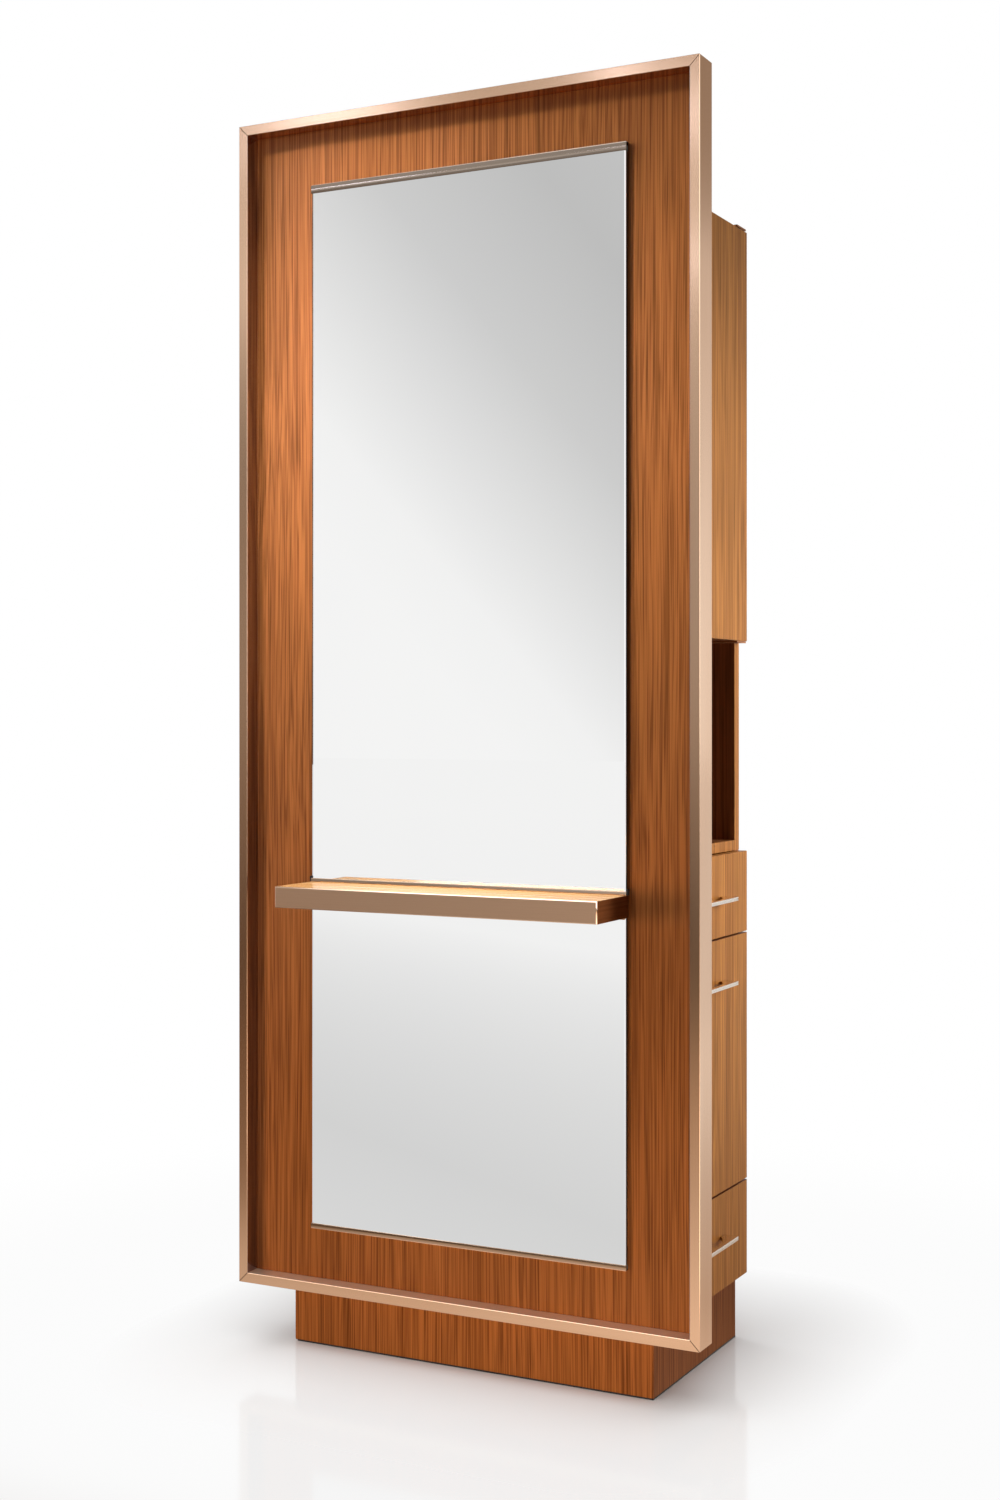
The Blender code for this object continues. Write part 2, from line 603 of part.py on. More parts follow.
def build_door(veneer, steel, plastic):
    """Make the door, its two pin hinges at the wall side and the catch at its other edge."""
    axis = joint_empty("door_axis", (PIVOT_X, PIVOT_Y, NICHE_CEILING))
    door = board("upper_door", (FRONT_BACK, FRONTS_NEAR, NICHE_CEILING), (FRONT_FACE, FRONTS_FAR, DOOR_TOP), veneer,
                 axis)
    hinges = (
        ("lower_pivot_bracket", NICHE_CEILING - SEAT, 1, NICHE_CEILING),
        ("upper_pivot_bracket", CARCASS_TOP + SEAT, -1, DOOR_TOP),
    )
    for name, seat_z, up, door_edge in hinges:
        build_pivot_bracket(name, seat_z, up, door_edge + up * PIN_DEPTH, steel)
        bore = rod_tool(name + "_bore", PIN_RADIUS + SEAT, (PIVOT_X, PIVOT_Y, door_edge - up * CUT_PAST),
                        (PIVOT_X, PIVOT_Y, door_edge + up * (PIN_DEPTH + SEAT)))
        combine(door, bore)
    catch_top = CARCASS_TOP - BOARD_THICKNESS - SEAT
    catch_front = FRONT_BACK - SEAT
    board("magnetic_catch",
          (catch_front - CATCH_DEPTH, INNER_FRONT + CATCH_INSET, catch_top - CATCH_HEIGHT),
          (catch_front, INNER_FRONT + CATCH_INSET + CATCH_LENGTH, catch_top), plastic)


def build_wall_bracket(steel):
    """Make the angle on the cabinet's top that is screwed to the wall, with two holes in each leg."""
    half = WALL_BRACKET_WIDTH / 2
    low = CARCASS_TOP + SEAT
    front = BODY_REAR - WALL_BRACKET_LEG
    bracket = board("wall_bracket", (-half, front, low), (half, BODY_REAR, low + WALL_BRACKET_LEG), steel,
                    edge=METAL_EDGE)
    combine(bracket, box_tool("wall_bracket_inside",
                              (-half - CUT_PAST, front - CUT_PAST, low + WALL_BRACKET_THICKNESS),
                              (half + CUT_PAST, BODY_REAR - WALL_BRACKET_THICKNESS,
                               low + WALL_BRACKET_LEG + CUT_PAST)))
    middle_y, middle_z = front + WALL_BRACKET_LEG / 2, low + WALL_BRACKET_LEG / 2
    for side, x in (("left", WALL_SCREW_INSET - half), ("right", half - WALL_SCREW_INSET)):
        combine(bracket, rod_tool(f"wall_screw_hole_{side}", WALL_SCREW_RADIUS,
                                  (x, BODY_REAR - CUT_PAST, middle_z), (x, BODY_REAR + CUT_PAST, middle_z)))
        combine(bracket, rod_tool(f"top_screw_hole_{side}", WALL_SCREW_RADIUS,
                                  (x, middle_y, low - CUT_PAST), (x, middle_y, low + CUT_PAST)))


def main():
    """Build the whole station."""
    bronze = finish("bronze_anodised_aluminium", "C9A480", 1.0, 0.32)
    key_metal = finish("mill_aluminium", "B9BBBD", 1.0, 0.40)
    panel_veneer = finish("cherry_veneer", "9C5A2E", 0.0, 0.38)
    front_veneer = finish("cherry_veneer_light", "B8835A", 0.0, 0.42)
    carcass_wood = finish("cherry_melamine", "8A5230", 0.0, 0.45)
    glass = finish("silvered_glass", "E6E8E8", 1.0, 0.03)
    handle_metal = finish("satin_nickel", "DAD5CC", 1.0, 0.28)
    steel = finish("zinc_plated_steel", "B4B7BA", 1.0, 0.35)
    tray_plastic = finish("moulded_tray_plastic", "C9C9C6", 0.0, 0.50)
    black_plastic = finish("black_nylon", "1C1C1D", 0.0, 0.55)

    build_frame(bronze, key_metal)
    build_panel(panel_veneer)
    build_mirrors(glass, bronze)
    build_shelf(panel_veneer, bronze, steel)
    build_carcass(carcass_wood)
    build_plinth(front_veneer)
    build_legs(black_plastic)
    build_drawers({"front": front_veneer, "handle": handle_metal, "tray": tray_plastic, "steel": steel})
    build_door(front_veneer, steel, black_plastic)
    build_wall_bracket(steel)


for leftover in list(bpy.data.objects):
    bpy.data.objects.remove(leftover, do_unlink=True)
STATION = make_collection("styling_station")
CUTTERS = make_collection("station_cutters")
main()
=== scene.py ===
"""Studio picture of the styling station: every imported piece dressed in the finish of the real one.

Lengths are metres and +Z is up. The client sits on the -Y side, the cabinet opens to +X, and the wall is on
the +Y side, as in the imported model.
"""

import logging
import math
from dataclasses import dataclass, replace
from enum import Enum
from functools import lru_cache
from typing import Any, ClassVar

import bpy
import numpy as np
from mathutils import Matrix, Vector


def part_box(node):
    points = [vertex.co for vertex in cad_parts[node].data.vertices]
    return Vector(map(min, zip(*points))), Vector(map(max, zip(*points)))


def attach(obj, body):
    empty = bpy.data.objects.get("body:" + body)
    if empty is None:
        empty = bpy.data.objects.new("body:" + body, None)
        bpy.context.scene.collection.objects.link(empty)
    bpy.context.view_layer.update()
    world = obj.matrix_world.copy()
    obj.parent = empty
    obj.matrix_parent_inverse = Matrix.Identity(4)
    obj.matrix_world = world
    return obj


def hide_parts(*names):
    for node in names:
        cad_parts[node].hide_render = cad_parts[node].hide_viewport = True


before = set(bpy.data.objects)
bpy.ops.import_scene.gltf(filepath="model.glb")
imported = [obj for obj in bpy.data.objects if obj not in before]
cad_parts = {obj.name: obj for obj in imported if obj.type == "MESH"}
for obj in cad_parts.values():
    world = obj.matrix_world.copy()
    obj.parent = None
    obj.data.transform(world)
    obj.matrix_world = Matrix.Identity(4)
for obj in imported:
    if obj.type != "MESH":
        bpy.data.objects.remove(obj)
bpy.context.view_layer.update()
LOG = logging.getLogger("styling_station")
MM = 0.001
MM_PER_METRE = 1000
WARM = "FFE7C4"
AMBER = "FFDFB2"
COOL = "E4E8FF"
BLACK = (0.0, 0.0, 0.0, 1.0)
WHITE = (1.0, 1.0, 1.0, 1.0)
# Waves per metre of a run's slow straying, twice across it and once along it.
STRAY = (6.0, 6.0, 1.1)
# How much more blue than green a warm light lacks.
BLUE_LACK = 1.75
# The smallest radius of a rounded corner, so that no ring closes to a point.
LEAST_RADIUS = 0.2 * MM

Tree = bpy.types.NodeTree
Socket = bpy.types.NodeSocket
Pair = tuple[float, float]
Triple = tuple[float, float, float]
Ramp = tuple[tuple[float, ...], ...]


def linear(hex_colour: str) -> tuple[float, float, float, float]:
    """Turn an sRGB colour into a linear one.

    Args:
        hex_colour: six hex digits.

    Returns:
        Linear red, green and blue, and an alpha of one.
    """
    srgb = np.array([int(hex_colour[i:i + 2], 16) for i in (0, 2, 4)]) / 255
    value = np.where(srgb <= 0.04045, srgb / 12.92, ((srgb + 0.055) / 1.055) ** 2.4)
    return (*value.tolist(), 1.0)


def warm(level: float, warmth: float = 0.0) -> tuple[float, float, float, float]:
    """Give a light of one level: the warmth is the share of green that it lacks.

    Args:
        level: level of its red.
        warmth: zero for a white light.

    Returns:
        Linear red, green and blue, and an alpha of one.
    """
    return level, level * (1 - warmth), level * (1 - BLUE_LACK * warmth), 1.0


def add_node(tree: Tree, kind: str, inputs: dict[Any, Any] | tuple = (), stops: Ramp = (),
             **settings: Any) -> bpy.types.Node:
    """Add a node with its settings, its input values and its links.

    Args:
        tree: the node tree that takes the node.
        kind: the node's type name, without its usual beginning.
        inputs: a value, or a socket or a node's first output to link, for each input; in the inputs' order,
            or by name or number.
        stops: positions, levels and warmths of light, for a node with a ramp.
        settings: properties of the node.

    Returns:
        The new node.
    """
    node = tree.nodes.new("ShaderNode" + kind)
    for name, value in settings.items():
        setattr(node, name, value)
    for name, value in inputs.items() if isinstance(inputs, dict) else enumerate(inputs):
        value = value.outputs[0] if isinstance(value, bpy.types.Node) else value
        if isinstance(value, Socket):
            tree.links.new(value, node.inputs[name])
        else:
            node.inputs[name].default_value = value
    for index, (position, *light) in enumerate(stops):
        elements = node.color_ramp.elements
        stop = elements[index] if index < len(elements) else elements.new(position)
        stop.position = position
        stop.color = warm(*light)
    return node


class Run(Enum):
    """The way a grain or a brushing runs, as the turn that brings it upright."""

    UPRIGHT = (0.0, 0.0, 0.0)
    SIDEWAYS = (0.0, -math.pi / 2, 0.0)
    INWARDS = (math.pi / 2, 0.0, 0.0)

    def space(self, tree: Tree, wander: float = 0.0) -> Socket:
        """Give object space with Z along the run.

        The space is the object's own, turned; the sideways shift is slow noise, centred on zero, times the
        wander.

        Args:
            tree: the material's node tree.
            wander: how far the run strays sideways, in metres.

        Returns:
            The socket with the turned place.
        """
        place = add_node(tree, "TexCoord").outputs["Object"]
        turned = add_node(tree, "Mapping", {"Vector": place, "Rotation": self.value}).outputs[0]
        if not wander:
            return turned
        slow = add_node(tree, "VectorMath", (turned, STRAY), operation="MULTIPLY")
        noise = add_node(tree, "TexNoise", {"Vector": slow, "Scale": 1.0, "Detail": 1.0})
        centred = add_node(tree, "VectorMath", (noise.outputs["Color"], (0.5, 0.5, 0.5)),
                           operation="SUBTRACT")
        shift = add_node(tree, "VectorMath", (centred, (wander, wander, 0.0)), operation="MULTIPLY")
        return add_node(tree, "VectorMath", (turned, shift)).outputs[0]


@dataclass(frozen=True)
class Streaks:
    """Long thin marks of a grain or a brushing.

    Attributes:
        width: spacing across the marks, in millimetres.
        length: length of one mark, in millimetres.
        detail: how many finer layers the marks have.
        shown: levels of the noise at which a mark begins and is full.
        share: how strongly a full mark shows.
        ruggedness: how strong each finer layer is.
    """

    width: float
    length: float
    detail: float = 2.0
    shown: Pair = (0.3, 0.7)
    share: float = 1.0
    ruggedness: float = 0.55

    def draw(self, tree: Tree, space: Socket) -> Socket:
        """Draw the marks as noise that is squeezed across the run and stretched along it.

        Args:
            tree: the material's node tree.
            space: place with Z along the run.

        Returns:
            The socket with the marks, about 0.5 on average.
        """
        across, along = MM_PER_METRE / self.width, MM_PER_METRE / self.length
        squeezed = add_node(tree, "VectorMath", (space, (across, across, along)), operation="MULTIPLY")
        return add_node(tree, "TexNoise", {"Vector": squeezed, "Scale": 1.0, "Detail": self.detail,
                                           "Roughness": self.ruggedness}).outputs["Fac"]

    def mark(self, tree: Tree, space: Socket) -> bpy.types.Node:
        """Draw the marks and bring them from nothing up to their share.

        Args:
            tree: the material's node tree.
            space: place with Z along the run.

        Returns:
            The node whose first output is the marks' strength.
        """
        return add_node(tree, "MapRange", (self.draw(tree, space), *self.shown, 0.0, self.share))


@dataclass(frozen=True)
class Finish:
    """A finish that makes its own material, once.

    Attributes:
        name: name of the material.
    """

    name: str

    @lru_cache(maxsize=None)
    def material(self) -> bpy.types.Material:
        """Make the finish's material.

        Returns:
            The material, the same one each time.
        """
        made = bpy.data.materials.new(self.name)
        made.use_nodes = True
        self.shade(made.node_tree, made.node_tree.nodes["Principled BSDF"])
        return made

    def shade(self, tree: Tree, shader: bpy.types.Node) -> None:
        """Fill the material's nodes, which each finish does in its own way.

        Args:
            tree: the material's node tree.
            shader: its principled shader.
        """
        raise NotImplementedError

    def dress(self, *nodes: str) -> None:
        """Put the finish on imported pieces.

        Args:
            nodes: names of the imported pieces.
        """
        for name in nodes:
            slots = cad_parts[name].data.materials
            slots.clear()
            slots.append(self.material())
            LOG.info("%s dressed in %s", name, self.name)


@dataclass(frozen=True)
class LacqueredVeneer(Finish):
    """Quarter-sliced cherry veneer, sanded and sprayed with satin lacquer.

    The eye gets straight reddish-brown bands a few millimetres wide that wander a little, short darker pore
    lines along them, slow changes of tone from leaf to leaf, and a soft sheen from the lacquer over it all.

    Attributes:
        run: the way the grain runs.
        light: colour of the light bands.
        dark: colour of the dark bands.
        pore: colour of the pores and fibres.
        leaf: colour of the darker leaves.
        roughness: how matt the lacquer is.
        sheen: how much it reflects.
        dent: how strongly the pores dent it.
        pore_depth: depth of a pore.
        wander: how far the grain strays sideways.
        swing: what is added to the roughness beside the fibres and on them.
        bands: the light and dark bands.
        fibres: the fine fibres.
        pores: the short pore lines.
        leaves: the slow change from leaf to leaf.
    """

    run: Run = Run.UPRIGHT
    light: str = "BB7340"
    dark: str = "B06A3B"
    pore: str = "4F2812"
    leaf: str = "AF6A37"
    roughness: float = 0.38
    sheen: float = 0.09
    dent: float = 0.25
    pore_depth: float = 0.15 * MM
    wander: float = 0.022
    swing: Pair = (-0.04, 0.05)
    bands: Streaks = Streaks(11.0, 1500.0, 2.0)
    fibres: Streaks = Streaks(2.7, 380.0, 0.0, (0.38, 0.72), 0.5)
    pores: Streaks = Streaks(1.9, 170.0, 1.0, (0.48, 0.72), 0.6)
    leaves: Streaks = Streaks(140.0, 2600.0, 1.0, (0.4, 0.6), 0.45)

    def shade(self, tree: Tree, shader: bpy.types.Node) -> None:
        """Mix bands, fibres, leaf tone and pores; the real fibres are finer and are widened here to show.

        Args:
            tree: the material's node tree.
            shader: its principled shader.
        """
        space = self.run.space(tree, self.wander)
        tone: Any = linear(self.dark)
        strengths = {}
        for layer, streaks, colour in (("band", self.bands, self.light), ("leaf", self.leaves, self.leaf),
                                       ("fibre", self.fibres, self.pore), ("pore", self.pores, self.pore)):
            strengths[layer] = streaks.mark(tree, space)
            tone = add_node(tree, "Mix", {0: strengths[layer], 6: tone, 7: linear(colour)},
                            data_type="RGBA").outputs[2]
        low, high = (self.roughness + change for change in self.swing)
        gloss = add_node(tree, "MapRange", (strengths["fibre"], 0.0, self.fibres.share, low, high))
        dents = add_node(tree, "Bump", {"Height": strengths["pore"], "Strength": self.dent,
                                        "Distance": self.pore_depth}, invert=True)
        tree.links.new(tone, shader.inputs["Base Color"])
        tree.links.new(gloss.outputs[0], shader.inputs["Roughness"])
        tree.links.new(dents.outputs[0], shader.inputs["Normal"])
        shader.inputs["Specular IOR Level"].default_value = self.sheen


@dataclass(frozen=True)
class BrushedMetal(Finish):
    """Metal brushed or drawn along its length, then anodised or plated.

    The eye gets a satin glow that softens every reflection, with faint hairlines along the piece and a slow
    drift of tone; a thin sealed skin adds small pale glints.

    Attributes:
        colour: colour of the metal.
        shade_colour: its colour between the hairlines.
        run: the way the hairlines run.
        roughness: how far images blur.
        skin: how much the sealed skin reflects.
        skin_roughness: how far the skin's images blur.
        swing: how much the roughness varies.
        hairlines: the hairlines.
        drift: the slow drift of tone.
    """

    colour: str = "ECCAAD"
    shade_colour: str = "E6C2A3"
    run: Run = Run.UPRIGHT
    roughness: float = 0.16
    skin: float = 0.15
    skin_roughness: float = 0.1
    swing: float = 0.02
    hairlines: Streaks = Streaks(1.2, 320.0, 1.0, share=0.5)
    drift: Streaks = Streaks(60.0, 420.0, 1.0, (0.35, 0.65))

    def shade(self, tree: Tree, shader: bpy.types.Node) -> None:
        """Vary tone and roughness along hairlines; the real lines are finer and are widened here to show.

        Args:
            tree: the material's node tree.
            shader: its principled shader.
        """
        space = self.run.space(tree)
        line, slow = self.hairlines.mark(tree, space), self.drift.mark(tree, space)
        blend = add_node(tree, "Math", (line, slow))
        most = self.hairlines.share + self.drift.share
        tone = add_node(tree, "MapRange", (blend, 0.0, most))
        colour = add_node(tree, "Mix", {0: tone, 6: linear(self.shade_colour), 7: linear(self.colour)},
                          data_type="RGBA")
        ends = self.roughness + self.swing, self.roughness - self.swing
        gloss = add_node(tree, "MapRange", (blend, 0.0, most, *ends))
        tree.links.new(colour.outputs[2], shader.inputs["Base Color"])
        tree.links.new(gloss.outputs[0], shader.inputs["Roughness"])
        shader.inputs["Metallic"].default_value = 1.0
        shader.inputs["Coat Weight"].default_value = self.skin
        shader.inputs["Coat Roughness"].default_value = self.skin_roughness


@dataclass(frozen=True)
class SilveredGlass(Finish):
    """Float glass silvered on its back: a clean image with the faintest cast, uneven by a hair.

    Attributes:
        colour: colour of the reflection.
        cast: its colour where the cast is full.
        drift: the cast's slow drift over the pane.
    """

    colour: str = "F6F6F6"
    cast: str = "F8F8F7"
    drift: Streaks = Streaks(220.0, 600.0, 1.0)

    def shade(self, tree: Tree, shader: bpy.types.Node) -> None:
        """Let the cast drift slowly over the pane; the reflection itself is perfectly sharp.

        Args:
            tree: the material's node tree.
            shader: its principled shader.
        """
        cast = self.drift.draw(tree, Run.UPRIGHT.space(tree))
        colour = add_node(tree, "Mix", {0: cast, 6: linear(self.colour), 7: linear(self.cast)},
                          data_type="RGBA")
        tree.links.new(colour.outputs[2], shader.inputs["Base Color"])
        shader.inputs["Metallic"].default_value = 1.0
        shader.inputs["Roughness"].default_value = 0.0


@dataclass(frozen=True)
class SpeckledFinish(Finish):
    """A moulded, painted or ground surface with a fine even speckle.

    The eye gets one colour that is broken by a grain of its own size, and a sheen that the grain softens.

    Attributes:
        colour: colour of the surface.
        speck: colour of the specks.
        roughness: how matt it is.
        grain: size of a speck, in millimetres.
        relief: height of the grain, in millimetres.
        strength: how strongly the relief shows.
        swing: how much the roughness varies.
    """

    colour: str = "C9C9C6"
    speck: str = "BDBDB9"
    roughness: float = 0.5
    grain: float = 1.2
    relief: float = 0.03
    strength: float = 0.3
    swing: float = 0.06

    def shade(self, tree: Tree, shader: bpy.types.Node) -> None:
        """Break colour, roughness and relief with one noise of the grain's size.

        Args:
            tree: the material's node tree.
            shader: its principled shader.
        """
        speckle = Streaks(self.grain, self.grain, 2.0)
        grain = speckle.draw(tree, Run.UPRIGHT.space(tree))
        spread = add_node(tree, "MapRange", (grain, *speckle.shown))
        colour = add_node(tree, "Mix", {0: spread, 6: linear(self.colour), 7: linear(self.speck)},
                          data_type="RGBA")
        ends = self.roughness - self.swing, self.roughness + self.swing
        gloss = add_node(tree, "MapRange", (grain, *speckle.shown, *ends))
        relief = add_node(tree, "Bump", {"Height": grain, "Strength": self.strength,
                                         "Distance": self.relief * MM})
        tree.links.new(colour.outputs[2], shader.inputs["Base Color"])
        tree.links.new(gloss.outputs[0], shader.inputs["Roughness"])
        tree.links.new(relief.outputs[0], shader.inputs["Normal"])


class Finishes:
    """The finishes of the station, one name for each."""

    VENEER = LacqueredVeneer("cherry_veneer_satin_lacquer_upright")
    PLINTH_VENEER = LacqueredVeneer("cherry_veneer_matt_lacquer_upright", sheen=0.04)
    FRONT_VENEER = LacqueredVeneer("cherry_veneer_satin_lacquer_fronts", Run.UPRIGHT, "C68542", "AC6D35",
                                   "5E3A1A", "B27336", sheen=0.06)
    # A paler copy of the cherry for the shelf: the paleness is a painted highlight for its brightly lit top.
    SHELF_VENEER = LacqueredVeneer("cherry_veneer_painted_highlight_sideways", Run.SIDEWAYS, "DAA96F", "D2A065",
                                   "BC8751", "D5A369", roughness=0.24, sheen=0.2, dent=0.02)
    # A darker copy of the cherry for the shelf's end bands and the drawers' top bands: painted shade on the
    # shelf's ends and in the gaps between the drawers.
    SHADED_EDGE_VENEER = LacqueredVeneer("cherry_edge_band_painted_shade", Run.INWARDS, "7E4829", "744122", "5E3318",
                                  "7B4825", sheen=0.1)
    BOARD = LacqueredVeneer("cherry_faced_board_upright", Run.UPRIGHT, "B2744A", "8F5533", "55300F", "9E6338",
                            roughness=0.44, sheen=0.1)
    FLAT_BOARD = replace(BOARD, name="cherry_faced_board_inwards", run=Run.INWARDS)
    STILE = BrushedMetal("champagne_anodised_aluminium_upright")
    RAIL = BrushedMetal("champagne_anodised_aluminium_sideways", run=Run.SIDEWAYS)
    KEY = BrushedMetal("extruded_mill_aluminium", "C2C4C6", "B3B5B8", roughness=0.4, skin=0.0)
    BAND = BrushedMetal("champagne_anodised_aluminium_blasted", "E9C9AD", "E0BFA3", Run.SIDEWAYS, 0.4)
    CHANNEL = BrushedMetal("champagne_anodised_aluminium_polished", "E9D0BA", "DBC2AC", Run.SIDEWAYS, 0.08,
                           skin=0.0)
    # A darker grey metal for strips on the stiles' inner faces: painted shade.
    SHADE_STRIP = BrushedMetal("grey_aluminium_painted_shade", "BDB2B6", "B3A8AB", skin=0.0)
    # A rougher, paler metal for a strip on the bottom rail's top: rough from its etching, and pale as a
    # painted highlight of the light from above.
    SILL = BrushedMetal("etched_aluminium_painted_highlight", "EFD8C2", "E7CFB8", Run.SIDEWAYS, 0.52,
                        skin=0.0)
    # A darker, greyer copy of the polished channel metal for the top channel: painted shade for the dim
    # reflection that it shows.
    TOP_CHANNEL = BrushedMetal("channel_aluminium_painted_shade", "B9ADA1", "ADA195", Run.SIDEWAYS, 0.12,
                               skin=0.0)
    NICKEL = BrushedMetal("satin_nickel_plate", "F6F1EA", "F0EAE2", Run.INWARDS, 0.22, skin=0.0)
    ZINC = BrushedMetal("bright_zinc_plated_steel", "C3C7CB", "B4B9BE", Run.SIDEWAYS, 0.34, skin=0.0)
    MIRROR = SilveredGlass("silvered_float_glass")
    # A dark grey for the panes' ground edges: painted shade, as the edges face away from the light.
    SHADED_GLASS_EDGE = SpeckledFinish("ground_glass_edge_painted_shade", "4A5355", "3E4748", roughness=0.16, grain=2.0,
                                relief=0.005)
    BACKING = SpeckledFinish("mirror_backing_paint", "8E9294", "85898B", roughness=0.6, grain=1.5)
    COAT = SpeckledFinish("tan_powder_coat_on_steel", "9E663C", "925C35", roughness=0.5, grain=1.6)
    GLUE = SpeckledFinish("mitre_glue_brown", "745A46", "68503D", roughness=0.6, grain=1.0)
    TRAY = SpeckledFinish("moulded_abs_tray_grey", "C9C9C6", "BDBDB9", roughness=0.46, grain=1.4)
    NYLON = SpeckledFinish("moulded_black_nylon", "1E1E1F", "161617", roughness=0.5, grain=1.6)
    BUMPER = SpeckledFinish("cast_clear_silicone", "DADCDC", "CDD0D0", roughness=0.3, grain=1.5, relief=0.01)


def loft(name: str, rings: np.ndarray, angle: float = 30.0) -> bpy.types.Mesh:
    """Skin a row of closed rings into a closed solid, with a flat cap on the first and the last ring.

    Face (i, j) joins points j and j+1 of ring i to those of ring i+1, with j counted round the ring. The sum
    of the signed pyramids from the origin to the faces tells which way they point, and turns them outwards.

    Args:
        name: name of the mesh.
        rings: points, as rings by points round a ring by three.
        angle: edges sharper than this many degrees stay crisp.

    Returns:
        The mesh, with the side faces first, ring by ring, and then the two caps.
    """
    count, around = rings.shape[:2]
    points = rings.reshape(-1, 3)
    index = np.arange(count * around).reshape(count, around)
    following = np.roll(index, -1, axis=1)
    quads = np.stack([index[:-1], following[:-1], following[1:], index[1:]], axis=-1).reshape(-1, 4)
    caps = [index[0][::-1], index[-1]]
    middle = points.mean(axis=0)
    a, b, c, d = (points[quads[:, k]] - middle for k in range(4))
    volume = np.einsum("ij,ij->", a, np.cross(b, c)) + np.einsum("ij,ij->", a, np.cross(c, d))
    for cap in caps:
        p = points[cap] - middle
        volume += np.einsum("ij,ij->", np.broadcast_to(p[0], p[1:-1].shape), np.cross(p[1:-1], p[2:]))
    way = 1 if volume > 0 else -1
    faces = [*quads[:, ::way].tolist(), *(cap[::way].tolist() for cap in caps)]
    mesh = bpy.data.meshes.new(name)
    mesh.from_pydata(points.tolist(), [], faces)
    mesh.shade_smooth()
    mesh.set_sharp_from_angle(angle=math.radians(angle))
    return mesh


def place(name: str, mesh: bpy.types.Mesh, body: str, finish: Finish, replaces: str | None = None,
          slot: str | None = None) -> bpy.types.Object:
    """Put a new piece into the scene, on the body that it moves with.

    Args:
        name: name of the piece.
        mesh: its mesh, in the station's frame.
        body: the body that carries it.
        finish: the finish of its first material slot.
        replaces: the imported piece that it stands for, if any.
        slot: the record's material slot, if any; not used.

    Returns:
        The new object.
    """
    piece = bpy.data.objects.new(name, mesh)
    bpy.context.scene.collection.objects.link(piece)
    mesh.materials.append(finish.material())
    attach(piece, body)
    if replaces:
        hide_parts(replaces)
    LOG.info("%s made in %s, on %s", name, finish.name, body)
    return piece


def paint(mesh: bpy.types.Mesh, rows: tuple[int, ...], caps: tuple[int, int], *finishes: Finish) -> None:
    """Put more finishes on a lofted mesh that has one already.

    Args:
        mesh: the mesh.
        rows: number of the finish on each row of side faces, from 0 for the one that it has.
        caps: number of the finish on the first and the last cap.
        finishes: the finishes from number 1 on.
    """
    for finish in finishes:
        mesh.materials.append(finish.material())
    around = (len(mesh.polygons) - len(caps)) // len(rows)
    numbers = np.concatenate([np.repeat(rows, around), caps])
    mesh.polygons.foreach_set("material_index", numbers.astype(np.int32))


def rounded_rings(half: Pair, corner: float, insets: np.ndarray, steps: int = 8) -> np.ndarray:
    """Draw rounded rectangles, each set in from the outline by its own distance.

    Corner k has its middle at the outline's corner less the corner radius; the ring point at angle a lies the
    radius less the inset away from it, in the direction (cos a, sin a).

    Args:
        half: half width and half depth of the outline.
        corner: the outline's corner radius.
        insets: how far each ring is set in.
        steps: straight steps in each corner.

    Returns:
        Points as rings by points by two.
    """
    angles = (np.arange(4)[:, None] * 90 + np.linspace(0, 90, steps + 1)[None, :]) * math.pi / 180
    signs = np.array([(1, 1), (-1, 1), (-1, -1), (1, -1)])
    spare = np.maximum(insets - corner, 0)[:, None, None, None]
    middles = signs[None, :, None, :] * (np.array(half) - corner - spare)
    radii = np.maximum(corner - insets, LEAST_RADIUS)[:, None, None, None]
    ways = np.stack([np.cos(angles), np.sin(angles)], axis=-1)[None]
    return (middles + radii * ways).reshape(len(insets), -1, 2)


def turned_rings(radii: np.ndarray, rises: np.ndarray, foot: Vector, axis: Vector, steps: int) -> np.ndarray:
    """Turn a profile round an axis.

    Ring i is a circle of the i-th radius round the axis, at the i-th rise above the foot.

    Args:
        radii: radius of each ring.
        rises: height of each ring along the axis.
        foot: the axis's starting point.
        axis: the axis's direction, of length one.
        steps: points round a ring.

    Returns:
        Points as rings by points by three.
    """
    side = np.array(axis.orthogonal().normalized())
    other = np.cross(np.array(axis), side)
    angles = np.linspace(0, 2 * math.pi, steps, endpoint=False)
    circle = np.cos(angles)[:, None] * side + np.sin(angles)[:, None] * other
    return np.array(foot) + rises[:, None, None] * np.array(axis) + radii[:, None, None] * circle[None]


def faced_slab(name: str, low: Vector, high: Vector, axes: tuple[int, int, int], insets: np.ndarray,
               depths: np.ndarray, corner: float, angle: float = 30.0) -> bpy.types.Mesh:
    """Carry an edge profile round a flat piece.

    Ring i is the outline set in by the i-th inset, at the i-th depth; the first and the last ring are the
    flat faces.

    Args:
        name: name of the mesh.
        low: the piece's lowest corner.
        high: its highest corner.
        axes: which axes run across the face, up it and through it.
        insets: how far each ring is set in.
        depths: place of each ring along the third axis.
        corner: radius of the outline's corners.
        angle: edges sharper than this many degrees stay crisp.

    Returns:
        The mesh.
    """
    across, up, through = axes
    half = ((high[across] - low[across]) / 2, (high[up] - low[up]) / 2)
    flat = rounded_rings(half, corner, insets, 2)
    rings = np.empty((*flat.shape[:2], 3))
    rings[..., across] = flat[..., 0] + (low[across] + high[across]) / 2
    rings[..., up] = flat[..., 1] + (low[up] + high[up]) / 2
    rings[..., through] = depths[:, None]
    return loft(name, rings, angle)


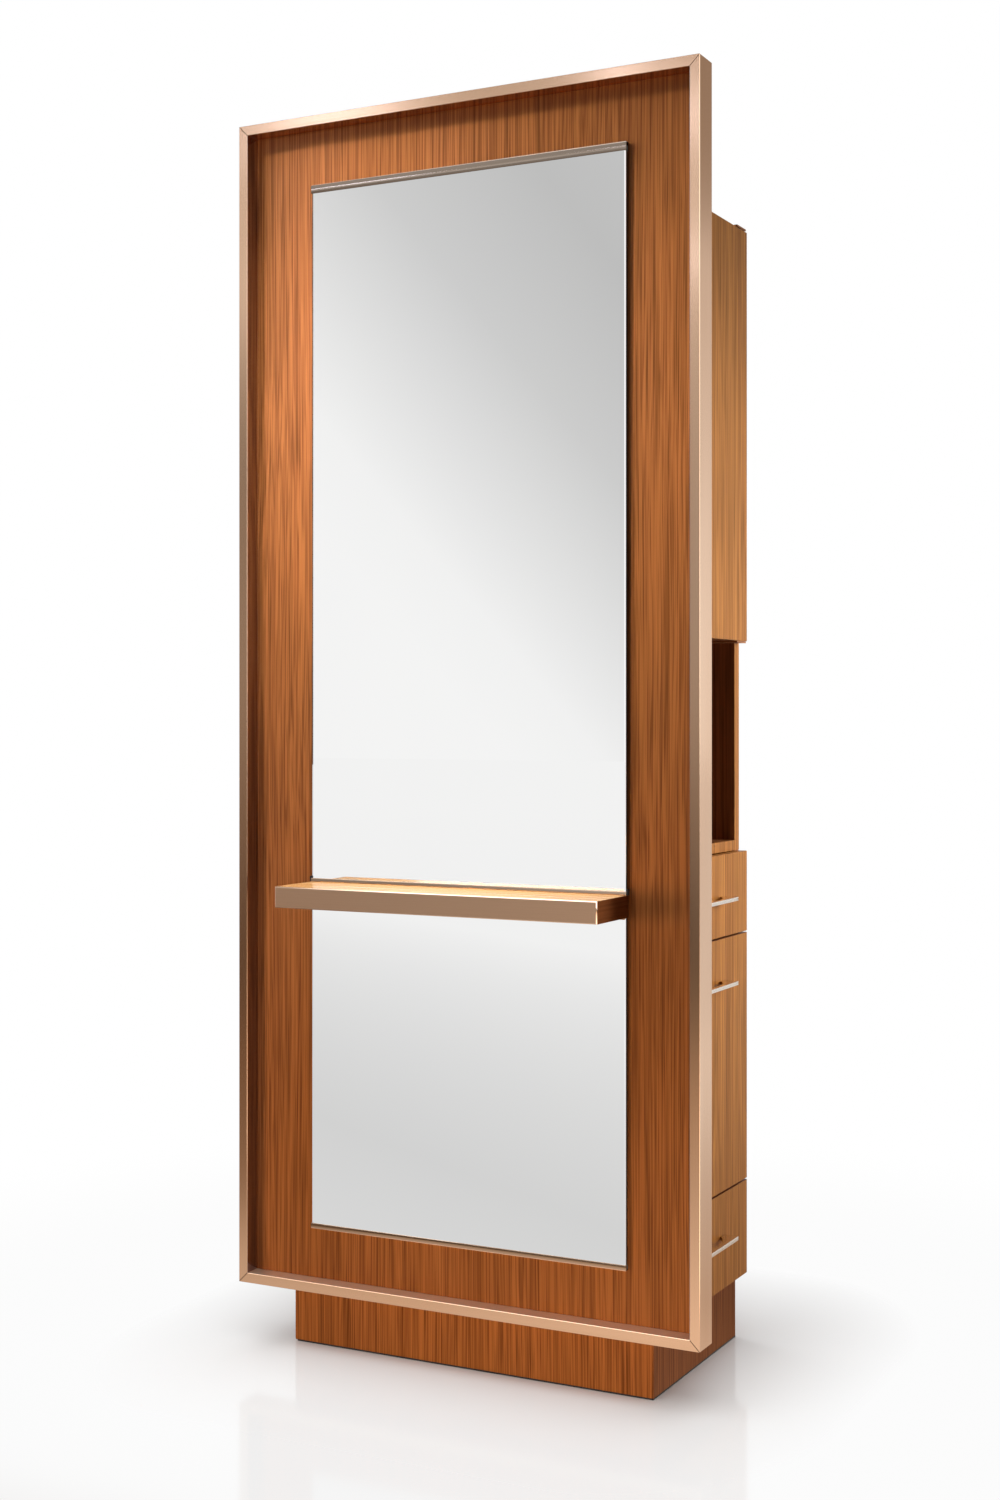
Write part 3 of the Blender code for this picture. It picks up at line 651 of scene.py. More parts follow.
@dataclass(frozen=True)
class Fastener:
    """A small round-headed screw, peg or bumper.

    Attributes:
        radius: radius of the head.
        rise: height of the head.
        recess: depth of the driver's recess, or nothing for a plain dome.
        DOME: angle at which the dome ends, in degrees, and rings on the way there.
        ROUNDING: power of the cosine that draws the dome; a small one keeps it full.
        BRIM: height of the upright brim below the dome, as a share of the head's.
        MOUTH: radii of the recess's mouth and floor, as shares of the head's.
        AROUND: points round the head.
    """

    radius: float
    rise: float
    recess: float = 0.0
    DOME: ClassVar[tuple[float, int]] = (80.0, 8)
    ROUNDING: ClassVar[float] = 0.6
    BRIM: ClassVar[float] = 0.25
    MOUTH: ClassVar[Pair] = (0.33, 0.26)
    AROUND: ClassVar[int] = 20

    def build(self, name: str, foot: Triple, axis: Triple, body: str,
              finish: Finish) -> bpy.types.Object:
        """Make the head as a turned dome.

        The dome's ring at angle a has radius R cos a, with the cosine raised to the rounding, and its height
        rises with sin a from the brim to H; a recess goes straight down from a ring near the middle.

        Args:
            name: name of the piece.
            foot: where the head sits.
            axis: the way it stands up.
            body: the body that carries it.
            finish: its finish.

        Returns:
            The new piece.
        """
        angle = np.radians(np.linspace(0, *self.DOME))
        radii = np.concatenate([[self.radius], self.radius * np.cos(angle) ** self.ROUNDING])
        rises = np.concatenate([[0.0], self.rise * (self.BRIM + (1 - self.BRIM) * np.sin(angle))])
        if self.recess:
            radii = np.concatenate([radii, self.radius * np.array(self.MOUTH)])
            rises = np.concatenate([rises, [self.rise, self.rise - self.recess]])
        mesh = loft(name, turned_rings(radii, rises, Vector(foot), Vector(axis), self.AROUND))
        return place(name, mesh, body, finish)


@dataclass
class Surround:
    """The mitred metal frame and the keys inside its corners.

    Attributes:
        rails: the level sides of the frame.
        stiles: its upright sides.
        keys: the keys inside its corners.
        seam: width of the dark line of a mitre.
        proud: how far the line's glue stands out of the front.
        painted_strip: thickness of the strips inside the frame, in front of the panel, which paint shade on
            the stiles and light on the bottom rail.
        painted_strip_gaps: gaps between a strip and the frame's front, and between it and the panel.
        painted_strip_corner: radius of a strip's corners.
    """

    rails: tuple[str, ...] = ("frame_top_rail", "frame_bottom_rail")
    stiles: tuple[str, ...] = ("frame_left_stile", "frame_right_stile")
    keys: tuple[str, ...] = ("corner_key_top_left", "corner_key_top_right", "corner_key_bottom_left",
                             "corner_key_bottom_right")
    seam: float = 0.7 * MM
    proud: float = 0.08 * MM
    painted_strip: float = 0.25 * MM
    painted_strip_gaps: Pair = (0.5 * MM, 0.1 * MM)
    painted_strip_corner: float = 0.1 * MM

    def build(self) -> None:
        """Brush the rails sideways and the stiles upright, paint shade and light inside the frame with
        strips, and glue the mitres.
        """
        Finishes.RAIL.dress(*self.rails)
        Finishes.STILE.dress(*self.stiles)
        Finishes.KEY.dress(*self.keys)
        self.painted_light_strips()
        self.seams()

    def painted_light_strips(self) -> None:
        """Cover the stiles' inner faces with thin darker grey strips, painted shade, and the bottom rail's
        top with a paler one, a painted highlight.
        """
        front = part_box("frame_left_stile")[0].y + self.painted_strip_gaps[0]
        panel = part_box("mirror_panel")[0].y - self.painted_strip_gaps[1]
        depths = np.array([front, panel])
        left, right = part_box("frame_left_stile")[1].x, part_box("frame_right_stile")[0].x
        foot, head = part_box("frame_bottom_rail")[1].z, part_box("frame_top_rail")[0].z
        # The stiles' strips paint shade; the bottom rail's strip paints a highlight.
        strips = (("left", (left, foot), (left + self.painted_strip, head), Finishes.SHADE_STRIP),
                  ("right", (right - self.painted_strip, foot), (right, head), Finishes.SHADE_STRIP),
                  ("bottom", (left, foot), (right, foot + self.painted_strip), Finishes.SILL))
        for side, low, high, finish in strips:
            name = "frame_painted_light_strip_" + side
            corners = Vector((low[0], front, low[1])), Vector((high[0], panel, high[1]))
            mesh = faced_slab(name, *corners, (0, 2, 1), np.zeros(2), depths, self.painted_strip_corner)
            place(name, mesh, "station", finish)

    def seams(self) -> None:
        """Run a thin strip of glue along each mitre, from the frame's outer corner to its inner one.

        The strip is a flat bar along the diagonal; its width lies across the diagonal in the plane of the
        front.
        """
        for rail, outer, inner in (("top", 1, 0), ("bottom", 0, 1)):
            for side, far, near in (("left", 0, 1), ("right", 1, 0)):
                level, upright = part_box(f"frame_{rail}_rail"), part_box(f"frame_{side}_stile")
                start = np.array([upright[far].x, level[0].y, level[outer].z])
                end = np.array([upright[near].x, level[0].y, level[inner].z])
                along = (end - start) / np.linalg.norm(end - start)
                across = np.cross(along, (0.0, 1.0, 0.0)) * self.seam / 2
                deep = np.array([0.0, self.proud, 0.0])
                ring = np.stack([across - deep, across + deep, deep - across, -across - deep])
                ends = [start + self.seam * along + ring, end + ring]
                name = f"mitre_seam_{rail}_{side}"
                place(name, loft(name, np.stack(ends)), "station", Finishes.GLUE)


@dataclass
class Channel:
    """A polished channel that holds a pane's edge.

    Attributes:
        node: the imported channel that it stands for.
        opens_up: whether its slot is on top.
        lean: how far the face falls back towards its free edge.
        web: thickness of the closed side.
        lip: thickness of the front lip where it meets the closed side.
        leg: thickness of the back leg.
        slope: depth and height of the bevel between the closed side and the face.
        finish: its finish.
    """

    node: str
    opens_up: bool
    lean: float = 0.3 * MM
    web: float = 1.0 * MM
    lip: float = 1.28 * MM
    leg: float = 1.0 * MM
    slope: Pair = (0.5 * MM, 0.8 * MM)
    finish: Finish = Finishes.CHANNEL

    def section(self, deep: float, tall: float) -> np.ndarray:
        """Draw the U-shaped section, as depth behind the front and height from the closed side.

        Past the bevel the face falls back in a straight line to the free edge, which is a half circle over
        what is left of the lip.

        Args:
            deep: depth of the channel.
            tall: height of its face.

        Returns:
            Points as rows of depth and height.
        """
        bevel = np.array([(self.slope[0], 0.0), (0.0, self.slope[1])])
        half = (self.lip - self.lean) / 2
        sweep = np.radians(np.linspace(0, 180, 7))[:, None]
        nose = np.concatenate([self.lean + half - half * np.cos(sweep), tall - half + half * np.sin(sweep)],
                              axis=1)
        back = deep - self.leg
        slot = np.array([(self.lip, self.web), (back, self.web), (back, tall), (deep, tall), (deep, 0.0)])
        return np.concatenate([bevel, nose, slot])

    def build(self) -> bpy.types.Object:
        """Carry the section along the channel.

        Returns:
            The new piece.
        """
        low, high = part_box(self.node)
        section = self.section(high.y - low.y, high.z - low.z)
        y = low.y + section[:, 0]
        z = low.z + section[:, 1] if self.opens_up else high.z - section[:, 1]
        ends = [np.stack([np.full_like(y, x), y, z], axis=1) for x in (low.x, high.x)]
        mesh = loft(self.node + "_profile", np.stack(ends))
        return place(self.node + "_profile", mesh, "station", self.finish, self.node, "bronze_aluminium")


@dataclass
class MirrorWall:
    """The veneered panel, the two panes and the channels that hold them.

    Attributes:
        insets: how far the panes' two bevels start and end from the edge.
        falls: how far each of those lines lies behind the front.
        pane_corner: radius of a pane's corners.
        crease: angle in degrees from which a pane's edges stay crisp.
        plug_length: how far the middle channel's end plugs stand out.
        plug_height: their height.
        plug_gap: gap between a plug and the channel's end.
        plug_edge: width of a plug's eased edge.
        plug_corner: radius of a plug's corners.
    """

    insets: tuple[float, ...] = (0.0, 0.0, 0.6 * MM, 3.0 * MM)
    falls: tuple[float, ...] = (1.6 * MM, 1.0 * MM, 0.0)
    pane_corner: float = 0.6 * MM
    crease: float = 5.0
    plug_length: float = 2.6 * MM
    plug_height: float = 9.5 * MM
    plug_gap: float = 0.05 * MM
    plug_edge: float = 0.5 * MM
    plug_corner: float = 1.0 * MM

    def build(self) -> None:
        """Dress the panel, draw the channels and cut the panes with polished bevels."""
        Finishes.VENEER.dress("mirror_panel")
        # The top channel wears the darker copy of the channel metal: painted shade.
        Channel("mirror_top_channel", False, lean=1.12 * MM, slope=(1.4 * MM, 3.2 * MM),
                finish=Finishes.TOP_CHANNEL).build()
        for name in ("mirror_mid_channel", "mirror_bottom_channel"):
            Channel(name, True).build()
        for name in ("upper_mirror", "lower_mirror"):
            self.pane(name)
        self.plugs()

    def pane(self, node: str) -> bpy.types.Object:
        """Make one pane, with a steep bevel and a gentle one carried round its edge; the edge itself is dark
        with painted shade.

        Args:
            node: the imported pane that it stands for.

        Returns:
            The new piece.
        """
        low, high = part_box(node)
        depths = np.array([high.y, *(low.y + fall for fall in self.falls)])
        mesh = faced_slab(node + "_pane", low, high, (0, 2, 1), np.array(self.insets), depths,
                          self.pane_corner, self.crease)
        pane = place(node + "_pane", mesh, "station", Finishes.MIRROR, node, "silvered_glass")
        paint(mesh, (1, 0, 0), (2, 0), Finishes.SHADED_GLASS_EDGE, Finishes.BACKING)
        return pane

    def plugs(self) -> None:
        """Close the ends of the middle channel with small plugs, eased at their outer edges."""
        low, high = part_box("mirror_mid_channel")
        insets = np.array([0.0, 0.0, self.plug_edge])
        for side, x, way in (("left", low.x, -1), ("right", high.x, 1)):
            name = "mid_channel_plug_" + side
            depths = x + way * np.array([self.plug_gap, self.plug_length - self.plug_edge, self.plug_length])
            top = Vector((high.x, high.y, low.z + self.plug_height))
            mesh = faced_slab(name, low, top, (1, 2, 0), insets, depths, self.plug_corner)
            place(name, mesh, "station", Finishes.NYLON)


@dataclass
class EdgeBand:
    """A thin veneer strip, eased all round, that is glued on a board's edge.

    Attributes:
        finish: its finish.
        thick: its thickness.
        corner: radius of its corners.
    """

    finish: Finish
    thick: float = 0.6 * MM
    corner: float = 0.5 * MM

    def build(self, name: str, low: Vector, high: Vector, edge: float, way: int) -> bpy.types.Object:
        """Carry the eased profile round the strip; its outer face is set in by half of the thickness.

        Args:
            name: name of the piece.
            low: the board's lowest corner.
            high: its highest corner.
            edge: place of the board's edge along X.
            way: 1 for a strip on the right edge, -1 for one on the left.

        Returns:
            The new piece.
        """
        ease = self.thick / 2
        depths = edge + way * np.array([0.0, self.thick - ease, self.thick])
        mesh = faced_slab(name, low, high, (1, 2, 0), np.array([0.0, 0.0, ease]), depths, self.corner)
        return place(name, mesh, "station", self.finish)


@dataclass
class Shelf:
    """The narrow shelf, its metal front band, its edge bands and its hidden bracket.

    Attributes:
        board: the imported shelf.
        band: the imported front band.
        bracket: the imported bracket.
        ease: width of the front band's chamfers.
        corner: radius of the front band's corners.
    """

    board: str = "shelf_board"
    band: str = "shelf_front_trim"
    bracket: str = "shelf_bracket"
    ease: float = 1.7 * MM
    corner: float = 0.4 * MM

    def build(self) -> None:
        """Run the shelf's grain along it, as the front band's brushing does, and close its ends."""
        # The shelf's paler cherry is a painted highlight.
        Finishes.SHELF_VENEER.dress(self.board)
        Finishes.ZINC.dress(self.bracket)
        self.front_band()
        self.end_bands()

    def front_band(self) -> bpy.types.Object:
        """Draw the front band as a flat bar whose front edges are chamfered and polished.

        Returns:
            The new piece.
        """
        low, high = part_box(self.band)
        insets, depths = np.array([0.0, 0.0, self.ease]), np.array([high.y, low.y + self.ease, low.y])
        mesh = faced_slab(self.band + "_bar", low, high, (0, 2, 1), insets, depths, self.corner)
        bar = place(self.band + "_bar", mesh, "station", Finishes.BAND, self.band, "bronze_aluminium")
        paint(mesh, (0, 1), (0, 0), Finishes.CHANNEL)
        return bar

    def end_bands(self) -> None:
        """Glue an edge band on each end of the board, darkened with painted shade."""
        low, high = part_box(self.board)
        for side, x, way in (("left", low.x, -1), ("right", high.x, 1)):
            EdgeBand(Finishes.SHADED_EDGE_VENEER).build("shelf_edge_band_" + side, low, high, x, way)


@dataclass
class Cabinet:
    """The cabinet's boards, plinth, legs and wall bracket, with their small fittings.

    Attributes:
        uprights: the boards that stand.
        flats: the boards that lie flat.
        plinth: the boards of the plinth.
        peg_radius: radius of the cabinet shelf's pegs.
        peg_length: how far a peg stands out of the side.
        peg_inset: distance of a peg from the shelf's ends.
        peg_gap: gap between a peg and the shelf.
        wall_screw: the wall bracket's screws.
        screw_inset: distance of a wall bracket's screw from its ends.
        screw_lift: height of the wall bracket's foot, on which its screws sit.
        plate_screw: the hinge plates' screws.
        plate_ends: distances of a hinge plate's two screws from its inner end.
        plate_inset: distance of those screws from its front edge.
        plate_gap: gap between a hinge plate and its screws.
        band_gap: gap between the niche's edge bands and the fronts above and below.
        shadow_strip_proud: how far the dark strips under the plinth, which paint its contact shadow, stand
            out of it.
        shadow_strip_thick: thickness of those strips.
        shadow_strip_lap: how far they reach up the plinth.
        shadow_strip_clearance: gap between them and the floor, and radius of their corners.
    """

    uprights: tuple[str, ...] = ("carcass_front_side", "carcass_rear_side", "carcass_left_panel",
                                 "centre_partition")
    flats: tuple[str, ...] = ("carcass_top", "carcass_bottom", "niche_floor", "niche_top", "cabinet_shelf")
    plinth: tuple[str, ...] = ("plinth_front", "plinth_right", "plinth_rear", "plinth_left")
    peg_radius: float = 2.5 * MM
    peg_length: float = 9.0 * MM
    peg_inset: float = 50.0 * MM
    peg_gap: float = 0.1 * MM
    wall_screw: Fastener = Fastener(4.6 * MM, 2.4 * MM, 1.6 * MM)
    screw_inset: float = 30.0 * MM
    screw_lift: float = 3.05 * MM
    plate_screw: Fastener = Fastener(3.4 * MM, 0.5 * MM, 0.4 * MM)
    plate_ends: Pair = (10.0 * MM, 34.0 * MM)
    plate_inset: float = 12.0 * MM
    plate_gap: float = 0.05 * MM
    band_gap: float = 1.0 * MM
    shadow_strip_proud: float = 0.3 * MM
    shadow_strip_thick: float = 5.0 * MM
    shadow_strip_lap: float = 0.8 * MM
    shadow_strip_clearance: float = 0.2 * MM

    def build(self) -> None:
        """Dress the boards, and add edge bands, dark strips that paint the plinth's contact shadow, pegs and
        screws.
        """
        Finishes.BOARD.dress(*self.uprights)
        Finishes.FLAT_BOARD.dress(*self.flats)
        Finishes.PLINTH_VENEER.dress(*self.plinth)
        Finishes.NYLON.dress(*(f"levelling_leg_{end}_{side}" for end in ("front", "rear")
                               for side in ("left", "right")), "magnetic_catch")
        Finishes.ZINC.dress("wall_bracket")
        Finishes.COAT.dress("upper_pivot_bracket", "lower_pivot_bracket")
        self.edge_bands()
        self.contact_shadow_strips()
        self.pegs()
        self.screws()

    def contact_shadow_strips(self) -> None:
        """Close the gap under the plinth with a dark strip along its front and its right side: painted
        contact shadow.
        """
        low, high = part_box("plinth_front")[0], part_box("plinth_right")[1]
        proud, thick, foot, top = self.shadow_strip_proud, self.shadow_strip_thick, self.shadow_strip_clearance, low.z + self.shadow_strip_lap
        strips = (("front", (low.x + thick, low.y - proud), (high.x + proud, low.y + thick)),
                  ("right", (high.x - thick, low.y + thick), (high.x + proud, high.y)))
        for side, start, end in strips:
            name = "plinth_contact_shadow_strip_" + side
            corners = Vector((*start, foot)), Vector((*end, top))
            mesh = faced_slab(name, *corners, (0, 1, 2), np.zeros(2), np.array([foot, top]), foot)
            place(name, mesh, "station", Finishes.NYLON)

    def edge_bands(self) -> None:
        """Glue an edge band on the boards that frame the niche, between the fronts above and below it."""
        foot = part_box("top_drawer_front")[1].z + self.band_gap
        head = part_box("upper_door")[0].z - self.band_gap
        for board in ("carcass_rear_side", "niche_floor"):
            low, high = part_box(board)
            low.z, high.z = max(low.z, foot), min(high.z, head)
            EdgeBand(Finishes.FRONT_VENEER).build(board + "_edge_band", low, high, high.x, 1)

    def pegs(self) -> None:
        """Stand the cabinet shelf on four pegs from the sides."""
        low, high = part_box("cabinet_shelf")
        peg = Fastener(self.peg_radius, self.peg_length)
        z = low.z - self.peg_radius - self.peg_gap
        for side, y, way in (("front", low.y, 1), ("rear", high.y, -1)):
            for end, x in (("inner", low.x + self.peg_inset), ("outer", high.x - self.peg_inset)):
                peg.build(f"shelf_peg_{side}_{end}", (x, y, z), (0, way, 0), "station", Finishes.NICKEL)

    def screws(self) -> None:
        """Hold the wall bracket and the hinge plates with round-headed screws."""
        low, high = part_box("wall_bracket")
        y, z = (low.y + high.y) / 2, low.z + self.screw_lift
        for side, x in (("left", low.x + self.screw_inset), ("right", high.x - self.screw_inset)):
            self.wall_screw.build(f"wall_bracket_screw_{side}", (x, y, z), (0, 0, 1), "station",
                                  Finishes.ZINC)
        for plate, way in (("upper_pivot_bracket", 1), ("lower_pivot_bracket", -1)):
            low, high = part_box(plate)
            y, z = low.y + self.plate_inset, (high.z if way > 0 else low.z) + way * self.plate_gap
            for end, inset in zip(("inner", "outer"), self.plate_ends):
                self.plate_screw.build(f"{plate}_screw_{end}", (low.x + inset, y, z), (0, 0, way), "station",
                                       Finishes.COAT)


@dataclass
class Pull:
    """A flat pull whose inner side is hollowed to an arc for the fingers.

    Attributes:
        edge: radius of the long edges.
        corner: radius of the outer corners, seen from above.
        foot: length of each foot along the front.
        bar: width of the bar at its narrowest.
        groove_width: width of the groove along the outer edge.
        groove_depth: its depth.
        groove_floor: width of the groove's floor, as a share of its mouth's.
        shoulder: length of the step from a foot to the arc.
        ROUND: points on a long edge's quarter circle.
        BEND: points on an outer corner's quarter circle.
        ARC: points on the hollow's arc.
    """

    edge: float = 0.7 * MM
    corner: float = 4.0 * MM
    foot: float = 17.0 * MM
    bar: float = 9.0 * MM
    groove_width: float = 1.3 * MM
    groove_depth: float = 0.8 * MM
    groove_floor: float = 0.7
    shoulder: float = 0.1 * MM
    ROUND: ClassVar[int] = 5
    BEND: ClassVar[int] = 7
    ARC: ClassVar[int] = 41

    def section(self, half: float) -> np.ndarray:
        """Draw the cross-section.

        It is a rectangle with quarter-round corners and a notch in its outer side. A point's first number
        says which side it hangs on, 0 inner and 1 outer, the second how far it lies from that side, and the
        third its height.

        Args:
            half: half of the pull's thickness.

        Returns:
            Points as rows of side, offset and height.
        """
        turn = np.radians(np.linspace(0, 90, self.ROUND))
        rows = []
        for side, start, sign in ((0, 180, 1), (1, 270, -1), (1, 0, -1), (0, 90, 1)):
            angle = math.radians(start) + turn
            lift = half - self.edge if start in (0, 90) else self.edge - half
            rows.append(np.stack([np.full(self.ROUND, side), self.edge * (sign + np.cos(angle)),
                                  lift + self.edge * np.sin(angle)], axis=1))
        mouth, depth = self.groove_width / 2, -self.groove_depth
        floor = self.groove_floor * mouth
        notch = np.array([(1, 0, -mouth), (1, depth, -floor), (1, depth, floor), (1, 0, mouth)])
        return np.concatenate([rows[0], rows[1], notch, rows[2], rows[3]])

    def build(self, node: str, body: str) -> bpy.types.Object:
        """Carry the section along the pull.

        Along the pull at distance y from its middle, the outer side falls back on a quarter circle at each
        end, and the inner side follows an arc between the feet: arc middle plus the root of R squared less y
        squared.

        Args:
            node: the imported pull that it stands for.
            body: the drawer that carries it.

        Returns:
            The new piece.
        """
        low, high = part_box(node)
        middle, half_length, half = (low.y + high.y) / 2, (high.y - low.y) / 2, (high.z - low.z) / 2
        bend = np.radians(np.linspace(90, 0, self.BEND))
        ends = half_length - self.corner + self.corner * np.sin(bend)
        chord = half_length - self.foot
        step = chord + self.shoulder
        along = np.concatenate([-ends, [-step], np.linspace(-chord, chord, self.ARC), [step], ends[::-1]])
        outer = np.full(len(along), high.x)
        back_off = self.corner * (1 - np.cos(bend))
        outer[:self.BEND] -= back_off
        outer[-self.BEND:] -= back_off[::-1]
        rise = high.x - low.x - self.bar
        radius = (chord ** 2 + rise ** 2) / (2 * rise)
        arc = low.x + rise - radius + np.sqrt(np.maximum(radius ** 2 - along ** 2, 0))
        inner = np.where(np.abs(along) <= chord, np.maximum(arc, low.x), low.x)
        section = self.section(half)
        share = section[None, :, 0]
        x = inner[:, None] * (1 - share) + outer[:, None] * share + section[None, :, 1]
        y = np.broadcast_to(middle + along[:, None], x.shape)
        z = np.broadcast_to((low.z + high.z) / 2 + section[None, :, 2], x.shape)
        mesh = loft(node + "_pull", np.stack([x, y, z], axis=-1))
        return place(node + "_pull", mesh, body, Finishes.NICKEL, node, "satin_nickel")


@dataclass
class Tray:
    """A moulded drawer tray with round corners, a rounded rim and a coved floor.

    Attributes:
        wall: thickness of the wall and the floor.
        corner: radius of the upright corners.
        cove: radius between wall and floor, inside.
        foot: radius of the outer bottom edge.
        QUARTER: points on a quarter circle of the profile.
        HALF: points on the rim's half circle.
    """

    wall: float = 4.0 * MM
    corner: float = 12.0 * MM
    cove: float = 5.0 * MM
    foot: float = 2.0 * MM
    QUARTER: ClassVar[int] = 6
    HALF: ClassVar[int] = 9

    def build(self, node: str, body: str) -> bpy.types.Object:
        """Carry the wall's profile round a rounded rectangle.

        The profile gives an inset and a height: up the outer bottom edge on a quarter circle, up the wall,
        over the rim on a half circle, down the inner wall and out along the cove; the two floors are the flat
        caps.

        Args:
            node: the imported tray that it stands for.
            body: the drawer that carries it.

        Returns:
            The new piece.
        """
        low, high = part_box(node)
        quarter = np.radians(np.linspace(0, 90, self.QUARTER))
        turn = np.radians(np.linspace(0, 180, self.HALF))
        rim = self.wall / 2
        insets = np.concatenate([self.foot * (1 - np.sin(quarter)), rim - rim * np.cos(turn),
                                 self.wall + self.cove * (1 - np.cos(quarter))])
        rises = np.concatenate([low.z + self.foot * (1 - np.cos(quarter)), high.z - rim + rim * np.sin(turn),
                                low.z + self.wall + self.cove * (1 - np.sin(quarter))])
        half, middle = (high - low) / 2, (low + high) / 2
        flat = rounded_rings((half.x, half.y), self.corner, insets) + np.array([middle.x, middle.y])
        rise = np.broadcast_to(rises[:, None, None], (*flat.shape[:2], 1))
        mesh = loft(node + "_moulding", np.concatenate([flat, rise], axis=-1))
        return place(node + "_moulding", mesh, body, Finishes.TRAY, node, "tray_plastic")


@dataclass
class Drawer:
    """One drawer with its front, pull, tray and slides.

    Attributes:
        name: name of the drawer's body, which its pieces' names start with.
        bumper: the soft stops that its front closes on.
        banded: whether the front has a dark edge band on top, which paints the shade in the gap above it.
        band: thickness of that edge band.
        band_corner: radius of its corners.
        bumper_drop: distance of the soft stops from the front's top.
    """

    name: str
    bumper: Fastener
    banded: bool
    band: float = 0.5 * MM
    band_corner: float = 0.2 * MM
    bumper_drop: float = 15.0 * MM

    def build(self) -> None:
        """Dress the front and the slides, and make the pull, the tray and the bumpers."""
        Finishes.FRONT_VENEER.dress(self.name + "_front")
        Finishes.ZINC.dress(*(f"{self.name}_{member}_slide_{side}" for member in ("cabinet", "drawer")
                              for side in ("near", "far")))
        Pull().build(self.name + "_handle", self.name)
        Tray().build(self.name + "_tray", self.name)
        if self.banded:
            self.edge_band()
        self.bumpers()

    def edge_band(self) -> None:
        """Glue a thin dark edge band on top of the front: painted shade in the gap above it."""
        low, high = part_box(self.name + "_front")
        name, rises = self.name + "_edge_band", high.z + np.array([0.0, self.band])
        mesh = faced_slab(name, low, high, (0, 1, 2), np.zeros(2), rises, self.band_corner)
        place(name, mesh, self.name, Finishes.SHADED_EDGE_VENEER)

    def bumpers(self) -> None:
        """Stick two bumpers on the cabinet's edges behind the front's upper corners."""
        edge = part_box("carcass_front_side")[1].x
        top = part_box(self.name + "_front")[1].z - self.bumper_drop
        for side in ("front", "rear"):
            low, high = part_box(f"carcass_{side}_side")
            self.bumper.build(f"{self.name}_bumper_{side}", (edge, (low.y + high.y) / 2, top), (1, 0, 0),
                              "station", Finishes.BUMPER)


@dataclass
class Door:
    """The handle-less door above the niche.

    Attributes:
        bumper: the soft stops that it closes on.
        bumper_inset: distance of the soft stops from its lower and upper edge.
    """

    bumper: Fastener
    bumper_inset: float = 12.0 * MM

    def build(self) -> None:
        """Dress the door and stick bumpers at its free edge."""
        Finishes.FRONT_VENEER.dress("upper_door")
        low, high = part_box("upper_door")
        near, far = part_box("carcass_front_side")
        for end, z in (("lower", low.z + self.bumper_inset), ("upper", high.z - self.bumper_inset)):
            self.bumper.build(f"door_bumper_{end}", (far.x, (near.y + far.y) / 2, z), (1, 0, 0), "station",
                              Finishes.BUMPER)


class Reach(Enum):
    """Which surfaces a lamp lights, as whether matt ones and shiny ones take its light."""

    MATT = (True, False)
    SHINY = (False, True)


@dataclass(frozen=True)
class Softbox:
    """A square studio lamp behind a diffuser.

    Attributes:
        name: name of the lamp.
        stand: where its middle is.
        aim: the point that it faces.
        size: its width and height.
        power: its power in watts.
        spread: the angle that its grid lets through, in degrees.
        colour: its colour.
        reach: the surfaces that it lights.
    """

    name: str
    stand: Triple
    aim: Triple
    size: Pair
    power: float
    spread: float = 180.0
    colour: str = "FFFFFF"
    reach: Reach = Reach.MATT

    def build(self) -> bpy.types.Object:
        """Set up the lamp, turned to its aim and hidden from the camera.

        Returns:
            The lamp.
        """
        data = bpy.data.lights.new(self.name, "AREA")
        data.shape = "RECTANGLE"
        data.size, data.size_y = self.size
        data.energy = self.power
        data.spread = math.radians(self.spread)
        data.color = linear(self.colour)[:3]
        lamp = bpy.data.objects.new(self.name, data)
        lamp.location = self.stand
        lamp.rotation_euler = (Vector(self.aim) - Vector(self.stand)).to_track_quat("-Z", "Y").to_euler()
        lamp.visible_camera = False
        lamp.visible_diffuse, lamp.visible_glossy = self.reach.value
        bpy.context.scene.collection.objects.link(lamp)
        LOG.info("lamp %s set up", self.name)
        return lamp


